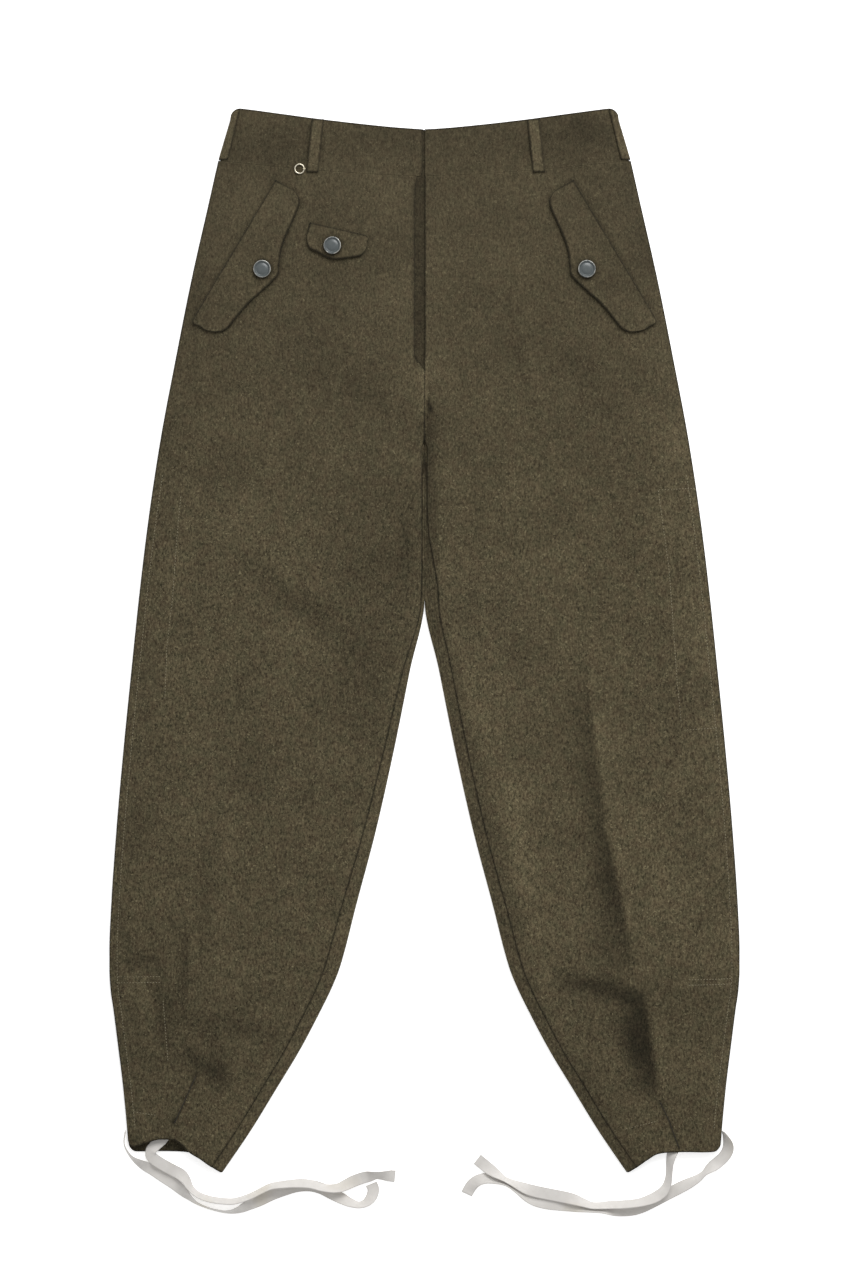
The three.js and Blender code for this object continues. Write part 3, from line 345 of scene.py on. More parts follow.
# Routes of the ankle tapes, from where each leaves the hem to its free end.
# lift: what it lies on, roll: degrees by which its left edge is turned up.
ANKLE_TAPES = {
    "ankle_tape_right_outer": table("x y lift roll", [
        (-308.2, -507, 0, 84), (-309.6, -514, 0, 85), (-309.4, -521.2, 0, 83),
        (-306.6, -528, 0, 77), (-301.5, -534.6, 0, 68), (-292.2, -541.3, 0, 38),
        (-280.4, -547.8, 0, 2), (-269.6, -555, 0, -2), (-259, -562, 0, 2),
        (-250.4, -568.8, 0, 24), (-243.1, -575.2, 0, 52), (-234.3, -581.8, 0, 70),
        (-224, -586.2, 0, 74), (-213.4, -589.2, 0, 73), (-202.8, -590.6, 0, 68),
        (-192.3, -588.8, 0, 50), (-181.8, -584.2, 0, 22), (-169.4, -579.2, 0, 4),
        (-157.1, -573.4, 0, 0), (-144.7, -568.8, 0, 0), (-131.3, -565, 0, 0),
        (-117.9, -564.4, 0, 0), (-106.6, -567.2, 0, 0), (-96.3, -572.2, 0, -6),
        (-86, -577, 0, -24), (-76.7, -581.2, 0, -48), (-67.5, -583.4, 0, -64),
        (-59.8, -581, 0, -50), (-54.6, -575.2, 0, -22), (-52.8, -568.2, 0, -6),
        (-55, -562.4, 0, 0),
    ]),
    "ankle_tape_right_inner": table("x y lift roll", [
        (-262.6, -500, 2.6, 0), (-266.4, -508.6, 2.6, 0), (-271, -516, 2.6, 4),
        (-277.2, -521.8, 2.7, 12), (-282, -527.4, 2.9, 22), (-281.4, -533.6, 3.9, 11),
        (-275.6, -538.6, 4.4, 2), (-267.2, -543.8, 3.6, 0), (-258.4, -548.6, 3, 0),
        (-251.3, -552.6, 1.4, -16), (-246.2, -557.9, 0.2, -42), (-242.6, -564.3, 0, -58),
        (-237.9, -569.8, 0, -66), (-231.2, -574.2, 0, -66), (-220.7, -577.7, 0, -66),
        (-208.2, -579.5, 0, -66), (-197.2, -579.8, 0, -66), (-186.9, -577.2, 0, -66),
        (-177.2, -573.4, 0, -66), (-167.4, -568.4, 0, -66), (-158.1, -564.2, 0.6, -64),
        (-147.8, -562.4, 1.8, -60), (-137.5, -561.4, 2, -56), (-127.2, -561, 2, -50),
        (-116.9, -562, 2, -52), (-106.6, -564.9, 2, -56), (-97.3, -566.4, 1.8, -54),
        (-88.1, -565.8, 0.8, -44), (-80.9, -563.1, 0.2, -28), (-73.6, -559.7, 0.4, -12),
        (-65.4, -556.6, 1.7, 0), (-58.2, -554.6, 1.7, 12), (-50.6, -553.2, 1, 42),
        (-42.7, -553.4, 0.2, 34), (-35.4, -554.1, 0, 8), (-30.4, -554.6, 0, 0),
    ]),
    "ankle_tape_left_outer": table("x y lift roll", [
        (307.8, -507.4, 0, 84), (311.2, -514.2, 0, 62), (313.4, -521.4, 0, 34),
        (312.6, -528.6, 0, 10), (308.4, -535.2, 0, 0), (302.6, -540.4, 0, 6),
        (296, -544.9, 0, 34), (288.9, -550.2, 0, 68), (282.2, -556, 0, 58),
        (273.5, -561.1, 0, 36), (264.2, -566, 0, 14), (254.9, -571.1, 0, 0),
        (244.6, -576.5, 0, 0), (234.5, -581.6, 0, 4), (225.1, -586, 0, 8),
        (215.8, -588.9, 0, 8), (205.5, -589.9, 0, 8), (194.4, -589.4, 0, 30),
        (183.9, -588.6, 0, 60), (173.6, -588, 0, 64), (163.3, -586.4, 0, 44),
        (151.9, -585, 0, 14), (139.6, -584.2, 0, 4), (127.2, -582.8, 0, 4),
        (115.9, -580, 0, 14), (105.6, -574.9, 0, 34), (96.8, -568.9, 0, 58),
        (89.1, -563.9, 0, 70), (81.9, -560.3, 0, 68), (72.6, -557.2, 0, 44),
        (63.3, -556.4, 0, 32), (55.4, -558.4, 0, 24), (49.3, -563.2, 0, 10),
        (45.2, -569.6, 0, 0), (43.6, -573, 0, 0),
    ]),
    "ankle_tape_left_inner": table("x y lift roll", [
        (262.4, -503, 2.6, 0), (261, -511.4, 2.6, 0), (259, -519.4, 2.6, 6),
        (256.6, -526.6, 2.7, 20), (254.3, -533.2, 2.4, 40), (252.9, -540.2, 1, 54),
        (252.4, -547.4, 0.4, 60), (251.9, -554.8, 0.2, 60), (250.4, -562, 0.4, 52),
        (247, -568.6, 1.6, 40), (241, -573.8, 1.8, 32), (233.2, -577.6, 1.8, 40),
        (223, -580.6, 1.8, 52), (212.5, -582.2, 1.8, 54), (202, -583, 1.6, 54),
        (192.1, -583.4, 0.6, 56), (181.8, -584.2, 0, 62), (172.5, -584, 0, 62),
        (163.3, -581.2, 0, 50), (153, -577.8, 1.2, 26), (140.6, -575.2, 1.7, 6),
        (128.2, -572.8, 1.7, 4), (115.9, -570.2, 1.7, 10), (105.6, -567.2, 1.4, 28),
        (96.3, -563.4, 0.4, 52), (88.1, -559.6, 0, 68), (80.9, -555.8, 0, 68),
        (73.6, -551.2, 0.2, 44), (66.4, -546.4, 0.4, 16), (59.7, -541.2, 0.2, 0),
        (54.4, -537, 0, 0),
    ]),
}


def plan_lines(*lines):
    return [table("x y", line) for line in lines]


# Lines of stitching that show on the fronts, besides those beside the seams.
STITCH_LINES = {
    "left": plan_lines(
        [(240.5, 153.5), (280.7, 155.5)],
        [(240.5, 153.5), (251.8, 71), (257, 0), (260.1, -43.8), (264.2, -85)],
        [(266.3, -93.7), (302.3, -91.7)],
        [(271.4, -350.8), (316.5, -350)],
        [(271.4, -356.4), (316.5, -355.6)],
        [(206.5, -504.7), (237.4, -497.1)],
    ),
    "right": plan_lines(
        [(-250.8, 147.3), (-254.9, 104), (-259.5, 40), (-265.2, -7.2), (-267.3, -62.8)],
        [(-316.5, -348.1), (-271.4, -347.4)],
        [(-316.5, -354.3), (-271.4, -353.4)],
        [(-269.3, -371.8), (-264.2, -433.6)],
        [(-300.2, -487.2), (-277.6, -490.3)],
    ),
}
DARTS = {
    "left": table("x y", [(262.1, -524.3), (251.3, -494.9), (242.6, -476.9)]),
    "right": table("x y", [(-257.4, -498.2), (-246.5, -474.5), (-235.4, -450.1)]),
}
# A dark tube of painted shadow lies along each dart's pinch.
DART_SHADOW_LINE = {"radius": 0.45 * MM, "lift": 0.1 * MM, "points": 16}
OUTSEAM_STITCH = 8.2 * MM  # how far inside the outer edge the outseam is top stitched
OUTSEAM_LOW, OUTSEAM_HIGH, OUTSEAM_POINTS = -505 * MM, 170 * MM, 200
STITCH_SECTION = 6
STITCH = {"length": 2.1 * MM, "pitch": 3 * MM, "radius": 0.26 * MM, "sink": 0.16 * MM}

# ---------------------------------------------------------------- small maths


def clamp(t):
    return np.clip(t, 0, 1)


def smooth(t):
    return clamp(t) ** 2 * (3 - 2 * clamp(t))


def lerp(a, b, t):
    return a + (b - a) * t


def bell(far, width):
    """1 where far is 0, and fading to nothing within a few widths."""
    return np.exp(-((far / width) ** 2))


def unit(vectors):
    return vectors / np.linalg.norm(vectors, axis=-1, keepdims=True)


def grid_of(*coordinates):
    """A grid of points from their coordinates."""
    return np.stack(np.broadcast_arrays(*coordinates), axis=-1)


def through(rows, key, column):
    """A smooth curve through a table's points that never swings past them, as a function of its key."""
    at, value = rows[key], rows[column]
    secant = np.diff(value) / np.diff(at)
    same_way = secant[:-1] * secant[1:] > 0
    total = np.where(same_way, secant[:-1] + secant[1:], 1)
    slope = np.r_[secant[0], np.where(same_way, 2 * secant[:-1] * secant[1:] / total, 0), secant[-1]]

    def curve(place):
        k = np.clip(np.searchsorted(at, place) - 1, 0, len(at) - 2)
        step = at[k + 1] - at[k]
        t = clamp((place - at[k]) / step)
        start = value[k] * (1 + 2 * t) + slope[k] * step * t
        end = value[k + 1] * (3 - 2 * t) - slope[k + 1] * step * (1 - t)
        return start * (1 - t) ** 2 + end * t**2

    return curve


outer_edge = through(OUTLINE, "y", "outer")
inner_edge = through(OUTLINE, "y", "inner")
puff = through(FULLNESS, "y", "puff")
outer_reach = through(FULLNESS, "y", "outer_reach")
inner_reach = through(FULLNESS, "y", "inner_reach")
inseam_width = {side: through(INSEAM, "y", side) for side in SIDES}
hem_level = {hem: through(HEM, "across", hem) for hem in ("flat", "lifted")}


def waist_top(x):
    into = np.clip(np.abs(x) - (outer_edge(WAIST_TOP + WAIST_RISE) - CORNER_RADIUS), 0, CORNER_RADIUS)
    corner_drop = CORNER_RADIUS - np.sqrt(CORNER_RADIUS**2 - into**2)
    return WAIST_TOP + WAIST_RISE * clamp(np.abs(x) / HALF_WAIST) ** WAIST_CURVE - corner_drop


def band_seam(x):
    return SEAM_LEVEL + SEAM_RISE * clamp(np.abs(x) / outer_edge(SEAM_LEVEL)) ** SEAM_CURVE


def ripple(x, y, size, seed):
    """Soft random unevenness, mostly between -1 and 1, with humps about one size apart."""
    draw = np.random.default_rng(seed)
    total = np.zeros(np.broadcast(x, y).shape)
    for _ in range(WAVES):
        angle, phase = draw.uniform(0, math.tau), draw.uniform(0, math.tau)
        wave = size * draw.uniform(SHORTEST, LONGEST)
        total += np.sin((x * math.cos(angle) + y * math.sin(angle)) * math.tau / wave + phase)
    return total / math.sqrt(WAVES)


def distance_to_line(x, y, line):
    """Distance in plan from each point to a line through a table's points."""
    nearest = np.full(np.broadcast(x, y).shape, np.inf)
    for k in range(len(line["x"]) - 1):
        start = np.array([line["x"][k], line["y"][k]])
        step = np.array([line["x"][k + 1], line["y"][k + 1]]) - start
        along = clamp(((x - start[0]) * step[0] + (y - start[1]) * step[1]) / (step @ step))
        away = np.hypot(x - start[0] - along * step[0], y - start[1] - along * step[1])
        nearest = np.minimum(nearest, away)
    return nearest


# ---------------------------------------------------------------- height of the front


def rise(distance, reach):
    """Rise from an edge to full height: steep at first, level at the end."""
    return 1 - (1 - clamp(distance / reach)) ** 2


def strokes(rows, x, y):
    """The heights or tones of a table's strokes, added up."""
    total = np.zeros(np.broadcast(x, y).shape)
    for x0, y0, x1, y1, bend, left, right, strength in zip(*rows.values()):
        length = math.hypot(x1 - x0, y1 - y0)
        dir_x, dir_y = (x1 - x0) / length, (y1 - y0) / length
        along = ((x - x0) * dir_x + (y - y0) * dir_y) / length
        arch = np.where((along > 0) & (along < 1), np.sin(math.pi * clamp(along)), 0)
        across = (y - y0) * dir_x - (x - x0) * dir_y - bend * arch
        width = np.where(across > 0, left, right)
        total += strength * np.sqrt(np.maximum(arch, 0)) * bell(across, width)
    return total


def fullness(x, y):
    """Share of the front's full rise at a place: none at the edges and in the valley between the legs."""
    far = np.abs(x)
    from_fork = np.maximum(far - inner_edge(y) - FOLD_RADIUS, 0)
    valley = inner_reach(y) * smooth((y - FORK_END) / (VALLEY_TOP - FORK_END))
    return rise(outer_edge(y) - far, outer_reach(y)) * rise(from_fork + valley, inner_reach(y))


def front_height(x, y):
    """Height of the front's upper face over the floor."""
    folds = strokes(FOLDS, x, y) + strokes(CREASES, x, y)
    uneven = sum(height * ripple(x, y, size, seed) for height, size, seed in UNEVEN)
    return LAYERS + fullness(x, y) * (puff(y) + folds + uneven)


def sewn_in(x, y, side):
    """How deep the sewing pulls the cloth of a front in."""
    depth = GROOVE_DEPTH * bell(outer_edge(y) - np.abs(x) - OUTSEAM_STITCH, GROOVE_WIDTH)
    for line in STITCH_LINES[side]:
        depth = np.maximum(depth, GROOVE_DEPTH * bell(distance_to_line(x, y, line), GROOVE_WIDTH))
    return np.maximum(depth, DART_DEPTH * bell(distance_to_line(x, y, DARTS[side]), DART_WIDTH))


# ---------------------------------------------------------------- meshes


def to_frame(points):
    """Points of the tables' levels, moved into the frame."""
    return np.asarray(points) + (0, -MIDDLE, 0)


def linked(name, data):
    """A new object in the scene with a mesh, lamp or camera."""
    made = bpy.data.objects.new(name, data)
    bpy.context.scene.collection.objects.link(made)
    return made


def add_mesh(name, points, faces, material, tone=None):
    """A mesh object from its points, in the tables' levels, its faces and how dark it is at each point."""
    mesh = bpy.data.meshes.new(name)
    mesh.from_pydata(to_frame(points).tolist(), [], [[int(v) for v in face] for face in faces])
    mesh.polygons.foreach_set("use_smooth", np.full(len(mesh.polygons), True))
    mesh.materials.append(material)
    shade = mesh.attributes.new("tone", "FLOAT", "POINT")
    shade.data.foreach_set("value", np.ones(len(points)) if tone is None else tone)
    mesh.update()
    return linked(name, mesh)


def seat(piece, slot, *nodes, body="trousers"):
    """The piece rides on its body and stands for its nodes; its slot is not used."""
    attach(piece, body)
    if nodes:
        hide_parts(*nodes)
    return piece


def normals_of(grid):
    """Unit normals of a grid of points, by its neighbours along rows and columns."""
    along, across = np.gradient(grid, axis=0), np.gradient(grid, axis=1)
    normal = np.cross(across, along)
    return normal / np.maximum(np.linalg.norm(normal, axis=2, keepdims=True), 1e-12)


def lengths_from_ends(grid, axis):
    """Distance of each point of a grid from the first and from the last point of its line."""
    steps = np.linalg.norm(np.diff(grid, axis=axis), axis=2)
    run = np.cumsum(steps, axis=axis)
    start = np.insert(run, 0, 0, axis=axis)
    return start, np.take(start, [-1], axis=axis) - start


def shell(grid, thickness, edges, tone=1.0):
    """Points, faces and tones of a closed wall round a grid of points in its middle.

    edges are the kinds of its edges along the first column, last column, first row and last row.
    """
    rows, columns = grid.shape[:2]
    distances = (*lengths_from_ends(grid, 1), *lengths_from_ends(grid, 0))
    inset = np.min([far / edge["radius"] for far, edge in zip(distances, edges)], axis=0)
    half = thickness / 2 * np.sqrt(1 - (1 - clamp(inset)) ** 2)
    offset = normals_of(grid) * half[..., None]
    tones = tone * np.ones((rows, columns))
    # Each edge is painted darker (shade) or paler (highlight) by its kind's tone.
    for far, edge in zip(distances, edges):
        faded = smooth((far / edge["reach"] - EDGE_CORE) / (1 - EDGE_CORE))
        tones = tones * lerp(edge["tone"], 1, faded)
    upper = np.arange(rows * columns).reshape(rows, columns)
    inside = np.zeros((rows, columns), bool)
    inside[1:-1, 1:-1] = True
    lower = upper.copy()
    lower[inside] = rows * columns + np.arange(inside.sum())
    points = np.vstack([(grid + offset).reshape(-1, 3), (grid - offset)[inside]])
    faces = np.vstack([quads(upper), quads(lower)[:, ::-1]])
    return points, faces, np.r_[tones.ravel(), tones[inside]]


def add_cloth(name, grid, thickness, edges, cloth, node, tone=1.0):
    points, faces, tones = shell(grid, thickness, edges, tone)
    return seat(add_mesh(name, points, faces, cloth, tones), "wool_cloth", node)


def round_grid(rows, around):
    """Vertex numbers of rows that each close into a ring."""
    index = np.arange(rows * around).reshape(rows, around)
    return np.c_[index, index[:, :1]]


def quads(index):
    """The faces of a grid of vertex numbers."""
    corners = (index[:-1, :-1], index[:-1, 1:], index[1:, 1:], index[1:, :-1])
    return np.stack([corner.ravel() for corner in corners], axis=1)


def lanes(width, count, first, last):
    """Distances across a piece of a width, close together at both edges, for each row of it."""
    width = np.asarray(width, float)[..., None]
    middle = np.linspace(0, 1, count)[1:-1]
    start = first["reach"] * EDGE_SHARES + 0 * width
    end = width - last["reach"] * EDGE_SHARES[::-1]
    return np.concatenate([start, lerp(start[..., -1:], end[..., :1], middle), end], axis=-1)


def spread(length, step, first, last):
    """Distances along a length about a step apart, close together at both ends."""
    return lanes(length, max(int(length / step), 3), first, last)


def panel_levels():
    """Levels of the rows of a front or a back, from the hem up to the waistband."""
    return HEM_BOTTOM + spread(SEAM_LEVEL - HEM_BOTTOM, STEP_DOWN, CUT, FLAT_SEAM)


# ---------------------------------------------------------------- panels


def corner(distance, radius):
    """How far a rounded corner rises over the straight edge, at a distance from its side."""
    into = radius * clamp(1 - distance / radius)
    return radius - np.sqrt(radius**2 - into**2)


def row_level(level, x, y, hem):
    """Level of a row at a place across the leg: rows bend to follow the hem and the waistband seam."""
    across = (outer_edge(level) - np.abs(x)) / (outer_edge(level) - inner_edge(level))
    cut = hem_level[hem](across) + corner(outer_edge(y) - np.abs(x), HEM_CORNER)
    cut = cut + corner(np.abs(x) - inner_edge(y), INNER_CORNER)
    hem_shift = (cut - HEM_BOTTOM) * clamp(1 - (level - HEM_BOTTOM) / HEM_BLEND)
    seam_shift = (band_seam(x) - SEAM_LEVEL) * clamp(1 - (SEAM_LEVEL - level) / WAIST_BLEND)
    return level + hem_shift + seam_shift


def settled(level, hem, place):
    """Levels of points whose distances from the centre line depend on their levels."""
    y = level
    for _ in range(SETTLING_PASSES):
        y = row_level(level, place(y), y, hem)
    return y


def front_inner(y, side):
    """Where a front ends toward the middle, as a distance from the centre line."""
    fork = inner_edge(y) + inseam_width[side](y)
    forking = smooth((FORK_TOP + FORK_BLEND - y) / FORK_BLEND)
    edge = FLY_EDGE if side == "left" else recess_width(y)
    fly = edge * smooth((y - FLY_CLOSED) / (FLY_BOTTOM - FLY_CLOSED))
    return lerp(fly, fork, forking)


def fly_dip(x, y, side):
    """The right front slopes down into the recess beside the left front's edge."""
    if side == "left":
        return 0 * x
    beside = 1 - smooth((np.abs(x) - recess_width(y)) / FLY_SLOPE)
    return FLY_DIP * beside * smooth((y - FLY_CLOSED) / (FLY_BOTTOM - FLY_CLOSED))


def recess_width(y):
    """How far from the centre line the right front and its waistband end."""
    return lerp(FLY_RECESS, TOP_RECESS, smooth((y - NARROWS_FROM) / (NARROWED - NARROWS_FROM)))


def front_top(x, y, side):
    return front_height(x, y) - fly_dip(x, y, side)


def stitched_top(x, y, side):
    return front_top(x, y, side) - sewn_in(x, y, side)


def front_grid(side):
    """Middle layer of a front, rows from the hem up and columns from the outer edge in."""
    levels = panel_levels()
    width = outer_edge(levels) - front_inner(levels, side)
    share = lanes(width, int(width.max() / STEP_ACROSS), CUT, CUT) / width[:, None]
    level = levels[:, None] + 0 * share

    def place(y):
        return lerp(outer_edge(y), front_inner(y, side), share)

    y = settled(level, "flat" if side == "left" else "lifted", place)
    x = SIDES[side] * place(y)
    return grid_of(x, y, stitched_top(x, y, side) - CLOTH / 2)


def back_columns():
    """Columns of a back: share of its flat part, turn round the inner edge, share of its strip in front."""
    outer = CUT["reach"] * EDGE_SHARES / BACK_WIDTH
    flat = np.r_[outer, np.linspace(outer[-1], 1, FLAT_COLUMNS)[1:]]
    turn = np.linspace(-90, 90, TURN_COLUMNS)[1:]
    share = np.r_[flat, np.ones(len(turn) + len(STRIP_SHARES))]
    angle = np.r_[np.full(len(flat), -90), turn, np.full(len(STRIP_SHARES), 90)]
    over = np.r_[np.zeros(len(flat) + len(turn)), STRIP_SHARES]
    return share, np.radians(angle), over


def back_section(y, side):
    """Distance from the centre line and height of a back's middle layer, at the levels of its columns."""
    share, angle, over = back_columns()
    outer = outer_edge(y)
    inner = np.maximum(inner_edge(y), 0)
    centre = inner + FOLD_RADIUS
    radius = FOLD_RADIUS - CLOTH / 2
    turned = share == 1
    rest = np.cumsum(turned) / turned.sum()
    width = inner + inseam_width[side](y) - centre
    formed = smooth((FORK_TOP - y) / (FORK_TOP - FOLD_FORMED))
    folded_x = lerp(outer, centre, share) - radius * np.cos(angle) * turned + width * over
    x = lerp(lerp(lerp(outer, centre, share), inner, rest), folded_x, np.where(turned, formed, 1))
    shown = np.where(over > 0, front_height(SIDES[side] * folded_x, y) - LAYERS, 0)
    z = lerp(CLOTH / 2, FOLD_RADIUS + radius * np.sin(angle) + shown, np.where(turned, formed, 1))
    pressed = strokes(BACK_CREASES, x, y) * rise(outer - x, CREASE_MARGIN) * rise(x - inner, CREASE_MARGIN)
    return x, z + np.where(over + (angle > -math.pi / 2) > 0, 0, np.maximum(pressed, 0))


def back_grid(side):
    level = panel_levels()[:, None] + 0 * back_columns()[0]
    y = settled(level, "flat", lambda at: back_section(at, side)[0])
    x, z = back_section(y, side)
    grid = grid_of(x, y, z)
    turned = back_columns()[0] == 1
    surface = x - CLOTH / 2 * np.abs(normals_of(grid)[..., 0])
    gap = np.min(np.where(turned, surface, 1), axis=1, keepdims=True) + PRESSED_TOGETHER
    touching = smooth((y - CROTCH + PARTING) / PARTING)
    grid[..., 0] -= np.where(turned, gap * touching, 0)
    return grid * (SIDES[side], 1, 1)


def band_grid(side, inner, height, inner_kind):
    """Middle layer of a length of waistband, from its outer end in to a distance from the centre line."""
    low, high = band_seam(outer_edge(SEAM_LEVEL)), WAIST_TOP + WAIST_RISE
    up = spread(high - low, STEP_DOWN, FLAT_SEAM, CUT)[:, None] / (high - low)
    outer = outer_edge(lerp(low, high, up)) - SIDE_INSET
    width = (outer - inner(lerp(low, high, up)))[:, 0]
    x = SIDES[side] * (outer - lanes(width, int(width.max() / STEP_ACROSS), CUT, inner_kind))
    y = lerp(band_seam(x), waist_top(x), up)
    return grid_of(x, y, height(x, y) - CLOTH / 2)


def back_band_grid():
    """The back waistband runs from side to side."""
    left, right = (band_grid(side, lambda y: 0 * y, lambda x, y: CLOTH + 0 * x, CUT) for side in SIDES)
    return np.concatenate([left[:, :-1], right[:, ::-1]], axis=1)


def underlap_grid():
    """The strip behind the fly, sewn to the right front."""
    x = np.linspace(-UNDERLAP["right"], UNDERLAP["left"], UNDERLAP_COLUMNS)[None, :]
    length = WAIST_TOP - BELOW_TOP - UNDERLAP["bottom"]
    up = spread(length, STEP_DOWN, THIN, THIN)[:, None] / length
    y = lerp(UNDERLAP["bottom"], waist_top(x) - BELOW_TOP, up)
    top = front_height(x, y) - UNDERLAP["drop"]
    return grid_of(x, y, top - UNDERLAP["thickness"] / 2)


def evenness(nap, x, y):
    """The soft unevenness of a nap's tone."""
    return nap["tone"] + nap["uneven"] * ripple(x, y, nap["size"], nap["seed"])


def front_tone(x, y, side):
    """How dark the front is painted from place to place: the nap's own unevenness, with painted shade and
    light along its folds, creases and slopes, beside the flaps and by the darts.
    """
    slope_light = PAINTED_SLOPE_LIGHT * np.clip(slope_up_right(x, y), -STEEPEST, STEEPEST)
    creased = CREASE_SHADING * np.clip(strokes(CREASES, x, y) / MM, *CREASE_COUNTED)
    dart_shading = 1 - DART_SHADE_TONE * bell(distance_to_line(x, y, DARTS[side]), DART_SHADE)
    tone = (evenness(FRONT_NAP, x, y) + strokes(PAINTED_SHADING, x, y)) * (1 + slope_light) * (1 + creased)
    return tone * beside_flaps(x, y, side) * dart_shading


def slope_up_right(x, y):
    """How steeply the front faces toward the upper right of the picture."""
    step = SLOPE_STEP
    fall = front_height(x - step, y - step) - front_height(x + step, y + step)
    return fall / (2 * math.sqrt(2) * step)


def back_tone(x, y):
    # The backs are painted in shade along their creases.
    creased = strokes(BACK_CREASES, np.abs(x), y) / MM
    return evenness(BACK_NAP, x, y) - BACK_CREASE_SHADING * creased


def beside_flaps(x, y, side):
    """The nap is a little darker where it lies in the shade of a flap's edge."""
    outlines = [flap_outline(flap, mirror) for *_, flap, front, mirror in FLAPS if front == side]
    near = np.min([distance_to_line(x, y, outline) for outline in outlines], axis=0)
    return 1 - FLAP_SHADE["tone"] * bell(near, FLAP_SHADE["reach"])


def panels(cloth):
    """Fronts, backs, waistband and fly underlap."""
    for side in SIDES:
        fly, inner = (FLY, lambda y: FLY_EDGE + 0 * y) if side == "left" else (RECESS, recess_width)
        edges = (CUT, SEAM, CUT, FLAT_SEAM)
        grid = front_grid(side)
        x, y = grid[..., 0], grid[..., 1]
        # The right front is painted into shade where it slopes down into the fly's recess.
        tone = front_tone(x, y, side) * lerp(1, RECESS_SHADE_TONE, fly_dip(x, y, side) / FLY_DIP)
        add_cloth(f"cloth_front_{side}", grid, CLOTH, edges, cloth, f"front_{side}", tone)
        grid = back_grid(side)
        x, y, z = np.moveaxis(grid, 2, 0)
        tone = np.where(z > CLOTH, front_tone(x, y, side), back_tone(x, y))
        if side == "right":
            shaded = (z < CLOTH) * (1 - smooth((y - HEM_INSIDE) / HEM_SHADE))
            tone = tone * lerp(1, RECESS_SHADE_TONE, shaded)
        add_cloth(f"cloth_back_{side}", grid, CLOTH, edges, cloth, f"back_{side}", tone)
        grid = band_grid(side, inner, lambda x, y, side=side: front_top(x, y, side), fly)
        tone = front_tone(grid[..., 0], grid[..., 1], side)
        edges = (CUT, fly, FLAT_SEAM, CUT)
        add_cloth(f"cloth_band_{side}", grid, CLOTH, edges, cloth, f"waistband_front_{side}", tone)
    grid = back_band_grid()
    tone = back_tone(grid[..., 0], grid[..., 1])
    add_cloth("cloth_band_back", grid, CLOTH, (CUT, CUT, FLAT_SEAM, CUT), cloth, "waistband_back", tone)
    thickness = UNDERLAP["thickness"]
    # The underlap is painted in shade all over, as it lies down in the fly's recess.
    add_cloth("cloth_underlap", underlap_grid(), thickness, [THIN] * 4, cloth, "fly_underlap", RECESS_SHADE_TONE)


# ---------------------------------------------------------------- flaps and loops


def flap_place(flap, mirror):
    """Turns distances along and out from a flap's sewn edge into a place in plan."""

    def place(along, width):
        x = flap["x"] + flap["along_x"] * along + flap["along_y"] * width
        return mirror * x, flap["y"] + flap["along_y"] * along - flap["along_x"] * width

    return place


def flap_grid(flap, side, mirror):
    """Middle layer of a flap on a front: rows down its sewn edge, columns out to its free edge."""
    low, high = flap["shape"]["along"][[0, -1]]
    along = low + spread(high - low, (high - low) / flap["steps"], FREE, FREE)
    reach = through(flap["shape"], "along", "width")(along)
    start = corner(high - along, FLAP_CORNER)
    width = start[:, None] + lanes(reach - start, flap["columns"], THIN, FREE)
    x, y = flap_place(flap, mirror)(along[:, None], width)
    lifted = FLAP_LIFT * smooth(width / FLAP_LIFT_REACH)
    return grid_of(x, y, front_top(x, y, side) + LINE_ON / 2 + lifted + flap["thickness"] / 2)


def flap_outline(flap, mirror):
    """The line round a flap in plan."""
    along, width = flap["shape"]["along"], flap["shape"]["width"]
    place = flap_place(flap, mirror)
    x, y = place(along, width)
    sewn_x, sewn_y = place(along[[-1, 0]], np.zeros(2))
    return {"x": np.r_[sewn_x[1], x, sewn_x], "y": np.r_[sewn_y[1], y, sewn_y]}


def flaps(cloth):
    """The flaps, with a painted highlight just inside their free edges and painted shade round their
    buttons.
    """
    for name, node, _, flap, side, mirror in FLAPS:
        grid = flap_grid(flap, side, mirror)
        inset = (lengths_from_ends(grid, 1)[1], *lengths_from_ends(grid, 0))
        edge_highlight = [bell(far - FLAP_EDGE_HIGHLIGHT["inset"], FLAP_EDGE_HIGHLIGHT["width"]) for far in inset]
        x, y = grid[..., 0], grid[..., 1]
        tone = front_tone(x, y, side) / beside_flaps(x, y, side) + FLAP_EDGE_HIGHLIGHT["tone"] * np.max(edge_highlight, axis=0)
        button_x, button_y = flap_place(flap, mirror)(*flap["button"])
        away = np.hypot(x - button_x, y - button_y) - BUTTON_RADIUS
        tone = tone * (1 - BUTTON_SHADE["tone"] * bell(away, BUTTON_SHADE["reach"]))
        add_cloth(f"cloth_{name}", grid, flap["thickness"], (THIN, FREE, FREE, FREE), cloth, node, tone)


def loop_relief(across, width):
    from_edge = np.minimum(across, width - across)
    return LOOP_EDGE["height"] * bell(from_edge - LOOP_EDGE["inset"], LOOP_EDGE["width"])


def front_loop_grid(side):
    at = FRONT_LOOP
    top, bottom = FRONT_LOOP_X[side]
    length = at["top"] - at["bottom"]
    down = spread(length, LOOP_STEP, THIN, THIN)[:, None] / length
    across = lanes(at["width"], LOOP_COLUMNS, THIN, THIN)[None, :]
    x = SIDES[side] * (lerp(top, bottom, down) + across - at["width"] / 2)
    y = lerp(at["top"], at["bottom"], down)
    lift = LINE_ON + at["arch"] * np.sin(math.pi * down) + loop_relief(across, at["width"])
    return grid_of(x, y, front_top(x, y, side) + lift + at["thickness"] / 2)


